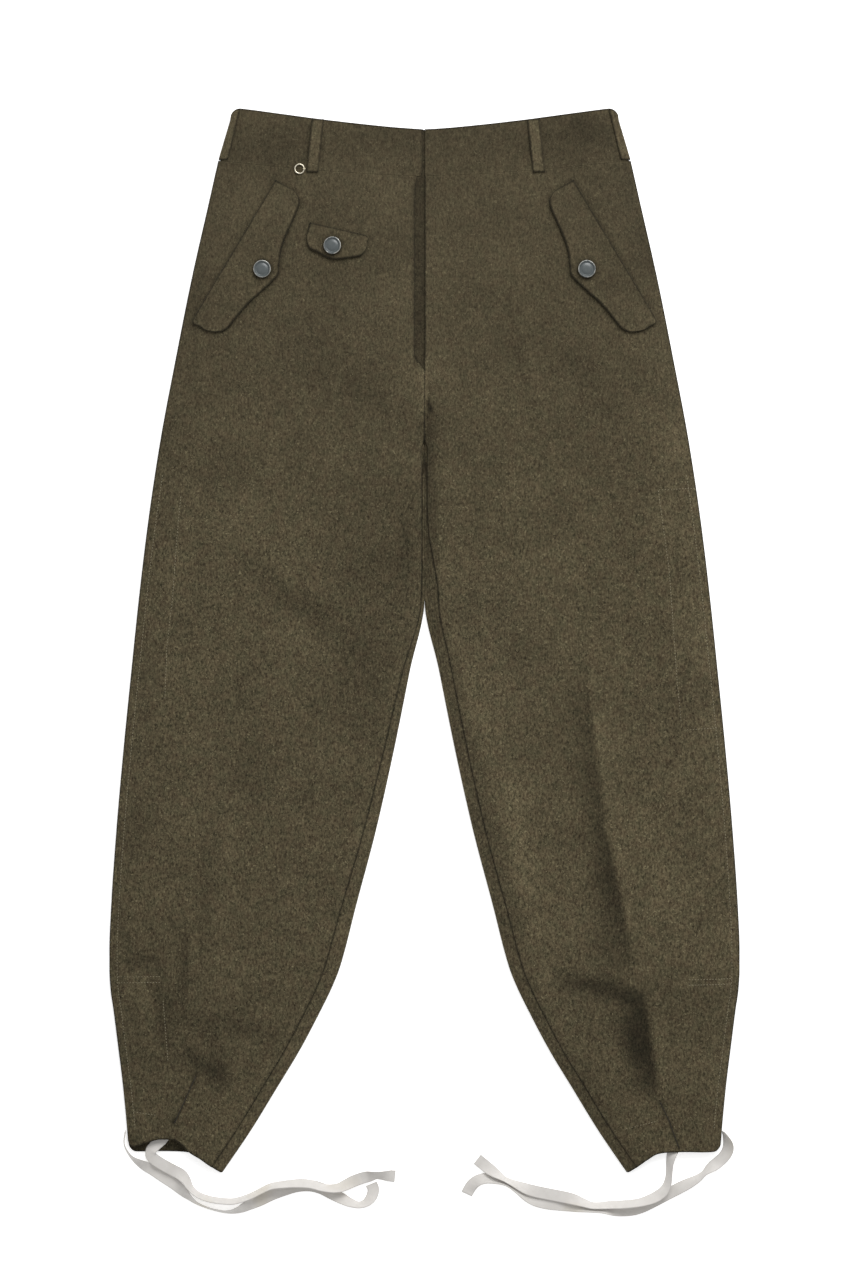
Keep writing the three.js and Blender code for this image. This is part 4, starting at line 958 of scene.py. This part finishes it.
def side_loop_grid(side):
    """A side loop turns over the edge of the waistband: up its side, then in over the front."""
    at = SIDE_LOOP
    half = at["thickness"] / 2
    bottom = SEAM_LEVEL + SEAM_RISE + at["over_seam"]
    length = WAIST_TOP + WAIST_RISE - bottom
    share = spread(length, LOOP_STEP, THIN, THIN)[:, None] / length
    edge = outer_edge(lerp(bottom, bottom + length, share))
    up = np.linspace(0, 1, LOOP_COLUMNS)[None, :-1]
    turn = np.radians(np.linspace(0, 90, LOOP_COLUMNS))[None, :]
    over = lanes(at["width"] - half - at["bend"], LOOP_COLUMNS, THIN, THIN)[1:][None, :]
    centre_x = edge - half - at["bend"]
    turned_x = centre_x + at["bend"] * np.cos(turn)
    x = np.concatenate([edge - half + 0 * up, turned_x, centre_x - over], axis=1)
    y = lerp(bottom, waist_top(x) - at["below_top"], share)
    top = front_height(edge - at["thickness"] - at["bend"], y[:, :1]) + LINE_ON + half
    centre_z = top - at["bend"]
    on_front = front_height(centre_x - over, y[:, -over.shape[1]:]) + LINE_ON + half
    z = np.concatenate([
        lerp(SEAM_GAP + half, centre_z, up),
        centre_z + at["bend"] * np.sin(turn),
        np.maximum(on_front, top) + loop_relief(over, at["width"]),
    ], axis=1)
    return grid_of(SIDES[side] * x, y, z)


def loops(cloth):
    for side in SIDES:
        for kind, grid, at in (
            ("front", front_loop_grid(side), FRONT_LOOP),
            ("side", side_loop_grid(side), SIDE_LOOP),
        ):
            name, node = f"cloth_loop_{kind}_{side}", f"belt_loop_{kind}_{side}"
            add_cloth(name, grid, at["thickness"], [THIN] * 4, cloth, node, LOOP_TONE)


# ---------------------------------------------------------------- buttons, ring and tack


def lathe(profile, segments):
    """Points and faces of a closed solid turned about Z from a profile that starts and ends on the axis."""
    radius, height = np.array(profile[1:-1]).T
    angle = np.linspace(0, math.tau, segments, endpoint=False)
    around = np.outer(radius, np.cos(angle)), np.outer(radius, np.sin(angle))
    rings = grid_of(*around, height[:, None]).reshape(-1, 3)
    ends = [[0, 0, profile[0][1]], [0, 0, profile[-1][1]]]
    index = round_grid(len(radius), segments)
    first, last = len(rings), len(rings) + 1
    faces = quads(index).tolist()
    faces += [[first, b, a] for a, b in zip(index[0, :-1], index[0, 1:])]
    faces += [[last, a, b] for a, b in zip(index[-1, :-1], index[-1, 1:])]
    return np.vstack([rings, ends]), faces


def arc(centre_r, centre_z, radius, start, end, count):
    """Points of a round stretch of a profile, by angles in degrees from outwards toward up."""
    angle = np.radians(np.linspace(start, end, count))
    return list(zip(centre_r + radius * np.cos(angle), centre_z + radius * np.sin(angle)))


def button_profile():
    """Shank, underside, rolled rim and dished face of a metal button."""
    bead = BUTTON_RIM / 2
    face = BUTTON_HEIGHT - BUTTON_DISH
    rim_r, rim_z = BUTTON_RADIUS - bead, BUTTON_HEIGHT - bead
    fillet_r = rim_r - 2 * bead - DISH_GAP
    profile = [(0, 0), (SHANK_RADIUS, 0), (SHANK_RADIUS, SHANK_HEIGHT * SHANK_STRAIGHT)]
    profile += [(rim_r - bead, SHANK_HEIGHT), (rim_r, SHANK_HEIGHT + UNDERSIDE_RISE)]
    profile += arc(rim_r, rim_z, bead, *RIM_TURN)
    profile += arc(fillet_r, face + DISH_FILLET, DISH_FILLET, *FILLET_TURN)
    profile += [(r * MM, face + FACE_DOME * (1 - (r / DOME_EDGE) ** 4)) for r in DOME_RINGS]
    return profile + [(0, face + FACE_DOME)]


def buttons(paint):
    """Each button square on its flap: its axis follows the slope of the cloth."""
    step = SHANK_RADIUS
    for _, _, node, flap, side, mirror in FLAPS:
        points, faces = lathe(button_profile(), BUTTON_SEGMENTS)
        x, y = flap_place(flap, mirror)(*flap["button"])
        slope_x = (front_top(x + step, y, side) - front_top(x - step, y, side)) / (2 * step)
        slope_y = (front_top(x, y + step, side) - front_top(x, y - step, side)) / (2 * step)
        up = Vector((-float(slope_x), -float(slope_y), 1)).normalized()
        turn = np.array(up.to_track_quat("Z", "Y").to_matrix())
        foot = np.array([x, y, float(front_top(x, y, side)) + 2 * LINE_ON + flap["thickness"]])
        worn = smooth((np.hypot(points[:, 0], points[:, 1]) - WORN_FROM) / (BUTTON_RADIUS - WORN_FROM))
        worn = worn * smooth((points[:, 2] - BUTTON_HEIGHT / 2) / (BUTTON_HEIGHT / 3))
        piece = add_mesh(f"metal_{node}", points @ turn.T + foot, faces, paint, worn)
        seat(piece, "button_metal", node)


def torus(centre, radius, wire, around, section):
    """Points and faces of a wire bent round an upright axis at a centre."""
    turn = np.linspace(0, math.tau, around, endpoint=False)[:, None]
    bend = np.linspace(0, math.tau, section, endpoint=False)[None, :]
    far = radius + wire * np.cos(bend)
    points = grid_of(far * np.cos(turn), far * np.sin(turn), wire * np.sin(bend))
    index = round_grid(around, section)
    return points.reshape(-1, 3) + centre, quads(np.vstack([index, index[:1]]))


def middle_of(node):
    """The middle of a node's solid, at the tables' levels."""
    low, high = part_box(node)
    return np.array((low + high) / 2) + (0, MIDDLE, 0)


def watch_ring(metal):
    solid = torus(middle_of("watch_ring"), RING_RADIUS, RING_WIRE, RING_AROUND, RING_SECTION)
    seat(add_mesh("metal_watch_ring", *solid, metal), "ring_metal", "watch_ring", body="watch_ring")


def ring_tack(thread):
    """Turns of thread over the ring's wire, side by side."""
    low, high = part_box("ring_tack")
    middle_x, middle_y, _ = middle_of("ring_tack")
    bend = RING_WIRE + SEAM_GAP + TACK_STRAND
    foot, crown = low[2] + TACK_STRAND, high[2] - bend - TACK_STRAND
    angle = np.linspace(0, math.pi, TACK_POINTS)
    x, z = middle_x + bend * np.cos(angle), crown + bend * np.sin(angle)
    x, z = np.r_[x[0], x, x[-1]], np.r_[foot, z, foot]
    rows = middle_y + np.linspace(-TACK_SPREAD, TACK_SPREAD, TACK_TURNS)
    turns = [tube(grid_of(x, y, z), TACK_STRAND, THREAD_SECTION) for y in rows]
    seat(add_mesh("thread_ring_tack", *joined(turns), thread), "thread", "ring_tack")


def tube(line, radius, section):
    """Points and faces of a closed tube along a line of points."""
    tangent = unit(np.gradient(line, axis=0))
    side = unit(np.cross(tangent, np.where(np.abs(tangent[:, 1:2]) > 0.9, (1, 0, 0), (0, 1, 0))))
    up = np.cross(side, tangent)
    angle = np.linspace(0, math.tau, section, endpoint=False)
    circle = side[:, None] * np.cos(angle)[:, None] + up[:, None] * np.sin(angle)[:, None]
    points = (line[:, None] + radius * circle).reshape(-1, 3)
    index = round_grid(len(line), section)
    faces = quads(index)[:, ::-1].tolist()
    caps = [index[0, :-1].tolist(), index[-1, :-1][::-1].tolist()]
    return points, faces + caps


def joined(solids):
    """Several solids as one: their points and faces."""
    points, faces, count = [], [], 0
    for some_points, some_faces in solids:
        points.append(some_points)
        faces += [[v + count for v in face] for face in some_faces]
        count += len(some_points)
    return np.vstack(points), faces


# ---------------------------------------------------------------- ankle tapes


def catmull_rom(values, per_step):
    """A smooth line through values, the first and last of them included."""
    values = np.asarray(values, float)
    padded = np.vstack([2 * values[0] - values[1], values, 2 * values[-1] - values[-2]])
    t = np.linspace(0, 1, per_step, endpoint=False)[:, None]
    line = []
    for k in range(len(values) - 1):
        a, b, c, d = padded[k:k + 4]
        square, cube = 2 * a - 5 * b + 4 * c - d, 3 * b - a - 3 * c + d
        line.append(0.5 * (2 * b + (c - a) * t + square * t**2 + cube * t**3))
    return np.vstack([*line, values[-1:]])


def tape_grid(route):
    """Middle layer of a tape and its centre line."""
    x, y, lift, roll = catmull_rom(grid_of(*route.values()), TAPE_STEPS).T
    centre = lift + TAPE_WIDTH / 2 * np.abs(np.sin(roll)) + TAPE_THICKNESS / 2 + FLOOR_GAP
    middle = grid_of(x, y, centre)
    tangent = unit(np.gradient(middle, axis=0))
    level = unit(grid_of(-tangent[:, 1], tangent[:, 0], 0))
    upright = np.cross(tangent, level)
    wide = level * np.cos(roll)[:, None] + upright * np.sin(roll)[:, None]
    across = lanes(TAPE_WIDTH, TAPE_COLUMNS, SELVEDGE, SELVEDGE) - TAPE_WIDTH / 2
    return middle[:, None] + wide[:, None] * across[:, None], middle


def tapes(cotton, thread):
    """The four ankle tapes, as free cords of flat cotton tape."""
    for node, route in ANKLE_TAPES.items():
        grid, middle = tape_grid(route)
        points, faces, tones = shell(grid, COTTON, [SELVEDGE] * 4)
        piece = seat(add_mesh(f"cotton_{node}", points, faces, cotton, tones), "cotton_tape", node)
        row = np.argmax(lengths_from_ends(grid, 0)[1][:, 0] < TAPE_HEM)
        seam = grid[row, 1:-1] + normals_of(grid)[row, 1:-1] * COTTON / 2
        hem = seat(add_mesh(f"stitching_{node}", *tube(seam, TAPE_SEAM, STITCH_SECTION), thread), "thread")


# ---------------------------------------------------------------- stitching


def stitch_solid():
    """One stitch along X: a short arched thread whose ends dip into the cloth."""
    # Place along, size and height of each ring, for a length and a radius of 1.
    rings = ((-0.5, 0.35, -0.9), (-0.3, 0.95, -0.1), (0, 1, 0.1), (0.3, 0.95, -0.1), (0.5, 0.35, -0.9))
    angle = np.linspace(0, math.tau, STITCH_SECTION, endpoint=False)
    along, size, up = np.array(rings).T[..., None]
    round_y, round_z = size * np.cos(angle), size * np.sin(angle) + up
    points = grid_of(along * STITCH["length"], STITCH["radius"] * round_y, STITCH["radius"] * round_z)
    return points.reshape(-1, 3), quads(round_grid(len(rings), STITCH_SECTION))


def stitch_run(line, side):
    """Places and directions of the stitches along a line on a front."""
    run = np.r_[0, np.cumsum(np.hypot(np.diff(line["x"]), np.diff(line["y"])))]
    at = np.arange(STITCH["pitch"] / 2, run[-1], STITCH["pitch"])
    half = STITCH["length"] / 2

    def spot(s):
        x, y = np.interp(s, run, line["x"]), np.interp(s, run, line["y"])
        return grid_of(x, y, stitched_top(x, y, side))

    direction = unit(spot(at + half) - spot(at - half))
    centre = spot(at)
    centre[:, 2] += STITCH["radius"] - STITCH["sink"]
    return centre, direction


def stitches(name, runs, thread):
    """All the stitches of some runs as one piece."""
    points, faces = stitch_solid()
    centre, along = (np.vstack(part) for part in zip(*runs))
    across = unit(np.cross((0, 0, 1), along))
    axes = np.stack([along, across, np.cross(along, across)], axis=1)
    placed = np.einsum("pk,nkd->npd", points, axes) + centre[:, None]
    start = len(points) * np.arange(len(centre))[:, None]
    end = np.arange(STITCH_SECTION)
    first, last = start + end, start + len(points) - STITCH_SECTION + end[::-1]
    sides = (faces + start[:, None]).reshape(-1, 4)
    faces = sides.tolist() + first.tolist() + last.tolist()
    return seat(add_mesh(name, placed.reshape(-1, 3), faces, thread), "thread")


def sewing(thread):
    y = np.linspace(OUTSEAM_LOW, OUTSEAM_HIGH, OUTSEAM_POINTS)
    for side in SIDES:
        outseam = {"x": SIDES[side] * (outer_edge(y) - OUTSEAM_STITCH), "y": y}
        runs = [stitch_run(line, side) for line in [outseam, *STITCH_LINES[side]]]
        stitches(f"stitching_front_{side}", runs, thread)


def dart_shadow_lines(dark):
    """A dark tube of painted shadow along the pinched line of each ankle dart, where its two folds meet."""
    for side, line in DARTS.items():
        share, at = np.linspace(0, 1, DART_SHADOW_LINE["points"]), np.linspace(0, 1, len(line["x"]))
        x, y = np.interp(share, at, line["x"]), np.interp(share, at, line["y"])
        z = stitched_top(x, y, side) + DART_SHADOW_LINE["lift"]
        solid = tube(grid_of(x, y, z), DART_SHADOW_LINE["radius"], THREAD_SECTION)
        seat(add_mesh(f"shadow_dart_{side}", *solid, dark), "wool_cloth")


# ---------------------------------------------------------------- materials


class Nodes:
    """A new material with a Principled shader, and short ways to add nodes to it."""

    def __init__(self, name, **settings):
        self.material = bpy.data.materials.new(name)
        self.material.use_nodes = True
        self.tree = self.material.node_tree
        self.shader = self.tree.nodes["Principled BSDF"]
        for socket, value in settings.items():
            self.shader.inputs[socket.replace("_", " ")].default_value = value

    def add(self, kind, **inputs):
        node = self.tree.nodes.new(kind)
        for socket, value in inputs.items():
            self.set(node, socket.replace("_", " "), value)
        return node

    def set(self, node, socket, value):
        if isinstance(value, bpy.types.NodeSocket):
            self.tree.links.new(value, node.inputs[socket])
        else:
            node.inputs[socket].default_value = value

    def place(self, scale=(1, 1, 1)):
        """Position in metres, stretched by a scale."""
        where = self.add("ShaderNodeTexCoord").outputs["Object"]
        return self.add("ShaderNodeMapping", Vector=where, Scale=scale).outputs["Vector"]

    def noise(self, size, place, detail=2.0, roughness=0.5, distortion=0.0):
        """Noise from 0 to 1 with humps about a size apart."""
        node = self.add(
            "ShaderNodeTexNoise", Vector=place, Scale=1 / size, Detail=detail, Roughness=roughness,
            Distortion=distortion,
        )
        return node.outputs["Fac"]

    def maths(self, operation, a, b=0.0):
        node = self.tree.nodes.new("ShaderNodeMath")
        node.operation = operation
        for socket, value in enumerate((a, b)):
            self.set(node, socket, value)
        return node.outputs[0]

    def band(self, value, low, high, out_low=0.0, out_high=1.0):
        """A value carried from one range to another, held at its ends."""
        node = self.add("ShaderNodeMapRange", Value=value)
        ranges = {"From Min": low, "From Max": high, "To Min": out_low, "To Max": out_high}
        for socket, number in ranges.items():
            node.inputs[socket].default_value = number
        return node.outputs["Result"]

    def mix(self, a, b, factor, blend="MIX"):
        """Two colours mixed, each from a socket or as paint_of takes it."""
        a, b = (paint_of(*colour) if isinstance(colour, tuple) else colour for colour in (a, b))
        node = self.tree.nodes.new("ShaderNodeMix")
        node.data_type, node.blend_type = "RGBA", blend
        for socket, value in ((0, factor), (6, a), (7, b)):
            self.set(node, socket, value)
        return node.outputs[2]

    def bump(self, height, distance, strength=1.0):
        node = self.add("ShaderNodeBump", Height=height, Distance=distance, Strength=strength)
        return node.outputs["Normal"]

    def attribute(self, name):
        """A number stored at each point of the mesh."""
        node = self.tree.nodes.new("ShaderNodeAttribute")
        node.attribute_name = name
        return node.outputs["Fac"]

    def tinted(self, colour, tone):
        """A colour made darker or paler by a number."""
        grey = self.add("ShaderNodeCombineColor", Red=tone, Green=tone, Blue=tone).outputs["Color"]
        return self.mix(colour, grey, 1.0, "MULTIPLY")

    def finish(self, colour, roughness, normal):
        for socket, value in (("Base Color", colour), ("Roughness", roughness), ("Normal", normal)):
            self.set(self.shader, socket, value)
        return self.material


def paint_of(red, green, blue):
    """A colour as a screen shows it, from 0 to 255, as the shader wants it."""
    linear = [((c / 255 + 0.055) / 1.055) ** 2.4 for c in (red, green, blue)]
    return (*linear, 1)


WOOL = {
    "dark": (22, 18, 10), "pale": (104, 95, 72), "brown": (75, 60, 45), "green": (59, 60, 42),
    "speck": (27, 24, 15), "fibre": (124, 115, 88), "mean": (66, 59, 44),
}
# Between these levels, up the trousers, more of the nap is felted to one colour and fewer fibres show.
FELTED = {"levels": (0.1, 0.42), "share": (0.0, 0.4), "fibres": (0.8, 0.4)}
MOST = (0.3, 0.7)  # the range in which most of a noise lies
THREAD = {"sheen": 0.1, "mottle": 0.8 * MM, "roughness": 0.7, "grain": 0.3 * MM, "depth": 0.08 * MM}
FELT = {"sheen": 0.05, "mottle": 2 * MM, "roughness": 0.95, "grain": 0.6 * MM, "depth": 0.1 * MM}


def wool_cloth():
    """Napped melange wool: brown and green-grey fibres with pale and dark ones between them."""
    sheen = {"Sheen_Weight": 0.08, "Sheen_Roughness": 0.5, "Sheen_Tint": (0.8, 0.75, 0.6, 1)}
    n = Nodes("wool_cloth", Specular_IOR_Level=0.12, **sheen)
    where, grain = n.place(), n.place((1, 0.55, 1))
    fine = n.band(n.noise(1.9 * MM, grain, 3, 0.7), *MOST)
    colour = n.mix(WOOL["dark"], WOOL["pale"], fine)
    hue = n.mix(WOOL["brown"], WOOL["green"], n.band(n.noise(12 * MM, where, 3, 0.6), 0.35, 0.65))
    colour = n.mix(colour, hue, 0.25)
    for size, least, most in ((6 * MM, 0.84, 1.16), (17 * MM, 0.9, 1.1)):
        blotch = n.band(n.noise(size, n.place((1, 0.7, 1)), 3, 0.65), *MOST, least, most)
        colour = n.tinted(colour, blotch)
    streaks = n.band(n.noise(2.2 * MM, n.place((1, 0.22, 1)), 2, 0.6), *MOST, 0.88, 1.12)
    colour = n.tinted(colour, streaks)
    specks = n.band(n.noise(1.7 * MM, grain, 2, 0.6), 0.6, 0.7)
    colour = n.mix(colour, WOOL["speck"], n.maths("MULTIPLY", specks, 0.7))
    level = n.add("ShaderNodeSeparateXYZ", Vector=where).outputs["Y"]
    felted = n.band(level, *FELTED["levels"], *FELTED["share"])
    colour = n.mix(colour, WOOL["mean"], felted)
    curl = n.noise(4 * MM, where, 1, 0.5, 1.4)
    strand = n.band(n.maths("ABSOLUTE", n.maths("SUBTRACT", curl, 0.5)), 0.008, 0.034, 1, 0)
    broken = n.band(n.noise(2.4 * MM, where, 1, 0.5), 0.5, 0.58)
    fibres = n.maths("MULTIPLY", strand, broken)
    shown = n.maths("MULTIPLY", fibres, n.band(level, *FELTED["levels"], *FELTED["fibres"]))
    colour = n.mix(colour, WOOL["fibre"], shown)
    # The tone attribute holds the nap's own unevenness together with painted shade and highlights.
    colour = n.tinted(colour, n.attribute("tone"))
    nap = n.maths("ADD", n.noise(0.9 * MM, grain, 3, 0.7), n.maths("MULTIPLY", fibres, 0.5))
    return n.finish(colour, 0.95, n.bump(nap, 0.5 * MM, 0.7))


def cotton_tape():
    """Off-white cotton tape: a fine weave, a little yellowed in places."""
    n = Nodes("cotton_tape", Sheen_Weight=0.1, Sheen_Roughness=0.5, Specular_IOR_Level=0.2)
    where = n.place()
    colour = n.mix((195, 191, 186), (213, 210, 206), n.noise(8 * MM, where, 3, 0.6))
    stain = n.band(n.noise(60 * MM, where, 2, 0.5), 0.55, 0.75)
    colour = n.mix(colour, (188, 178, 152), n.maths("MULTIPLY", stain, 0.6))
    # The tone attribute holds the painted shade along the tape's selvedges.
    colour = n.tinted(colour, n.attribute("tone"))
    return n.finish(colour, 0.9, n.bump(n.noise(0.5 * MM, where, 1, 0.5), 0.2 * MM, 0.7))


def spun(name, dark, pale, sheen, mottle, roughness, grain, depth):
    """Thread or felt between two colours, with a fine grain of some depth."""
    n = Nodes(name, Sheen_Weight=sheen)
    colour = n.mix(dark, pale, n.noise(mottle, n.place(), 2))
    return n.finish(colour, roughness, n.bump(n.noise(grain, n.place()), depth))


def thread_material():
    """Khaki sewing thread."""
    return spun("sewing_thread", (118, 110, 87), (148, 139, 113), **THREAD)


def seam_shadow():
    """Painted shadow: near-black wool colours for the shade in the pinch of a dart."""
    return spun("seam_shadow", (24, 20, 12), (42, 36, 24), **FELT)


def tack_thread():
    """Pale linen thread of the ring's tack."""
    return spun("tack_thread", (176, 166, 138), (206, 198, 172), **THREAD)


def painted_metal():
    """Field-grey painted metal, worn through to bright metal on the rim."""
    n = Nodes("painted_metal")
    where = n.place()
    patchy = n.band(n.noise(5 * MM, where, 3), *MOST, -0.45, 0.25)
    bright = n.band(n.maths("ADD", n.attribute("tone"), patchy), 0.5, 0.95)
    paint = n.mix((62, 68, 69), (78, 83, 83), n.noise(3 * MM, where, 3))
    n.set(n.shader, "Metallic", n.maths("MULTIPLY", bright, 0.8))
    colour = n.mix(paint, (186, 185, 178), bright)
    roughness = n.band(bright, 0, 1, 0.34, 0.3)
    return n.finish(colour, roughness, n.bump(n.noise(0.6 * MM, where, 3), 0.03 * MM, 0.5))


def ring_metal():
    """Nickel wire, a little tarnished."""
    n = Nodes("ring_metal", Metallic=0.9)
    where = n.place()
    colour = n.mix((226, 220, 202), (190, 180, 156), n.noise(1.6 * MM, where, 3))
    roughness = n.band(n.noise(0.8 * MM, where, 2), 0, 1, 0.25, 0.45)
    return n.finish(colour, roughness, n.bump(n.noise(0.4 * MM, where, 2), 0.02 * MM, 0.5))


# ---------------------------------------------------------------- camera, light and floor

PICTURE_ROWS, PIXEL = 1279, 1.03 * MM  # the photo's height in pixels, and a pixel where the trousers lie
CAMERA_HEIGHT, CAMERA_SHIFT = 4.0, 0.5 * MM
PICTURE_LEVEL = 10 * MM  # the height over the floor at which a pixel has that size
SENSOR = 36
KEY_LIGHT = {"place": (0.7, 2.1, 2.1), "size": 1.8, "power": 80}
SKY_STRENGTH = 0.64
FLOOR_HALF, FLOOR_LEVEL, FLOOR_WHITE = 4.0, -0.3 * MM, 0.93


def camera():
    data = bpy.data.cameras.new("camera")
    data.sensor_width = SENSOR
    data.lens = SENSOR * (CAMERA_HEIGHT - PICTURE_LEVEL) / (PICTURE_ROWS * PIXEL)
    made = linked("camera", data)
    made.location = (CAMERA_SHIFT, CAMERA_SHIFT, CAMERA_HEIGHT)
    bpy.context.scene.camera = made


def lamp(name, place, size, power):
    """A soft square lamp that looks at the middle of the trousers."""
    data = bpy.data.lights.new(name, "AREA")
    data.size, data.energy = size, power
    made = linked(name, data)
    made.location = place
    made.rotation_euler = (-Vector(place)).to_track_quat("-Z", "Y").to_euler()


def studio():
    world = bpy.data.worlds.new("studio")
    world.use_nodes = True
    sky = world.node_tree.nodes["Background"].inputs
    sky["Color"].default_value = (1, 1, 1, 1)
    sky["Strength"].default_value = SKY_STRENGTH
    bpy.context.scene.world = world
    bpy.context.scene.view_settings.view_transform = "Standard"
    lamp("key", **KEY_LIGHT)


def floor():
    """A plain white table that glows a little, so that shadows on it stay faint."""
    n = Nodes("floor", Emission_Color=(1, 1, 1, 1), Emission_Strength=0.5, Specular_IOR_Level=0.1)
    grain = n.bump(n.noise(4 * MM, n.place(), 2), 0.02 * MM, 0.3)
    material = n.finish((FLOOR_WHITE, FLOOR_WHITE, FLOOR_WHITE, 1), 0.9, grain)
    ways = ((-1, -1), (1, -1), (1, 1), (-1, 1))
    corners = [(x * FLOOR_HALF, y * FLOOR_HALF, FLOOR_LEVEL) for x, y in ways]
    add_mesh("floor", corners, [(0, 1, 2, 3)], material)


# ---------------------------------------------------------------- the scene

camera()
thread = thread_material()
tapes(cotton_tape(), thread)
cloth = wool_cloth()
panels(cloth)
flaps(cloth)
loops(cloth)
buttons(painted_metal())
watch_ring(ring_metal())
ring_tack(tack_thread())
sewing(thread)
dart_shadow_lines(seam_shadow())
studio()
floor()
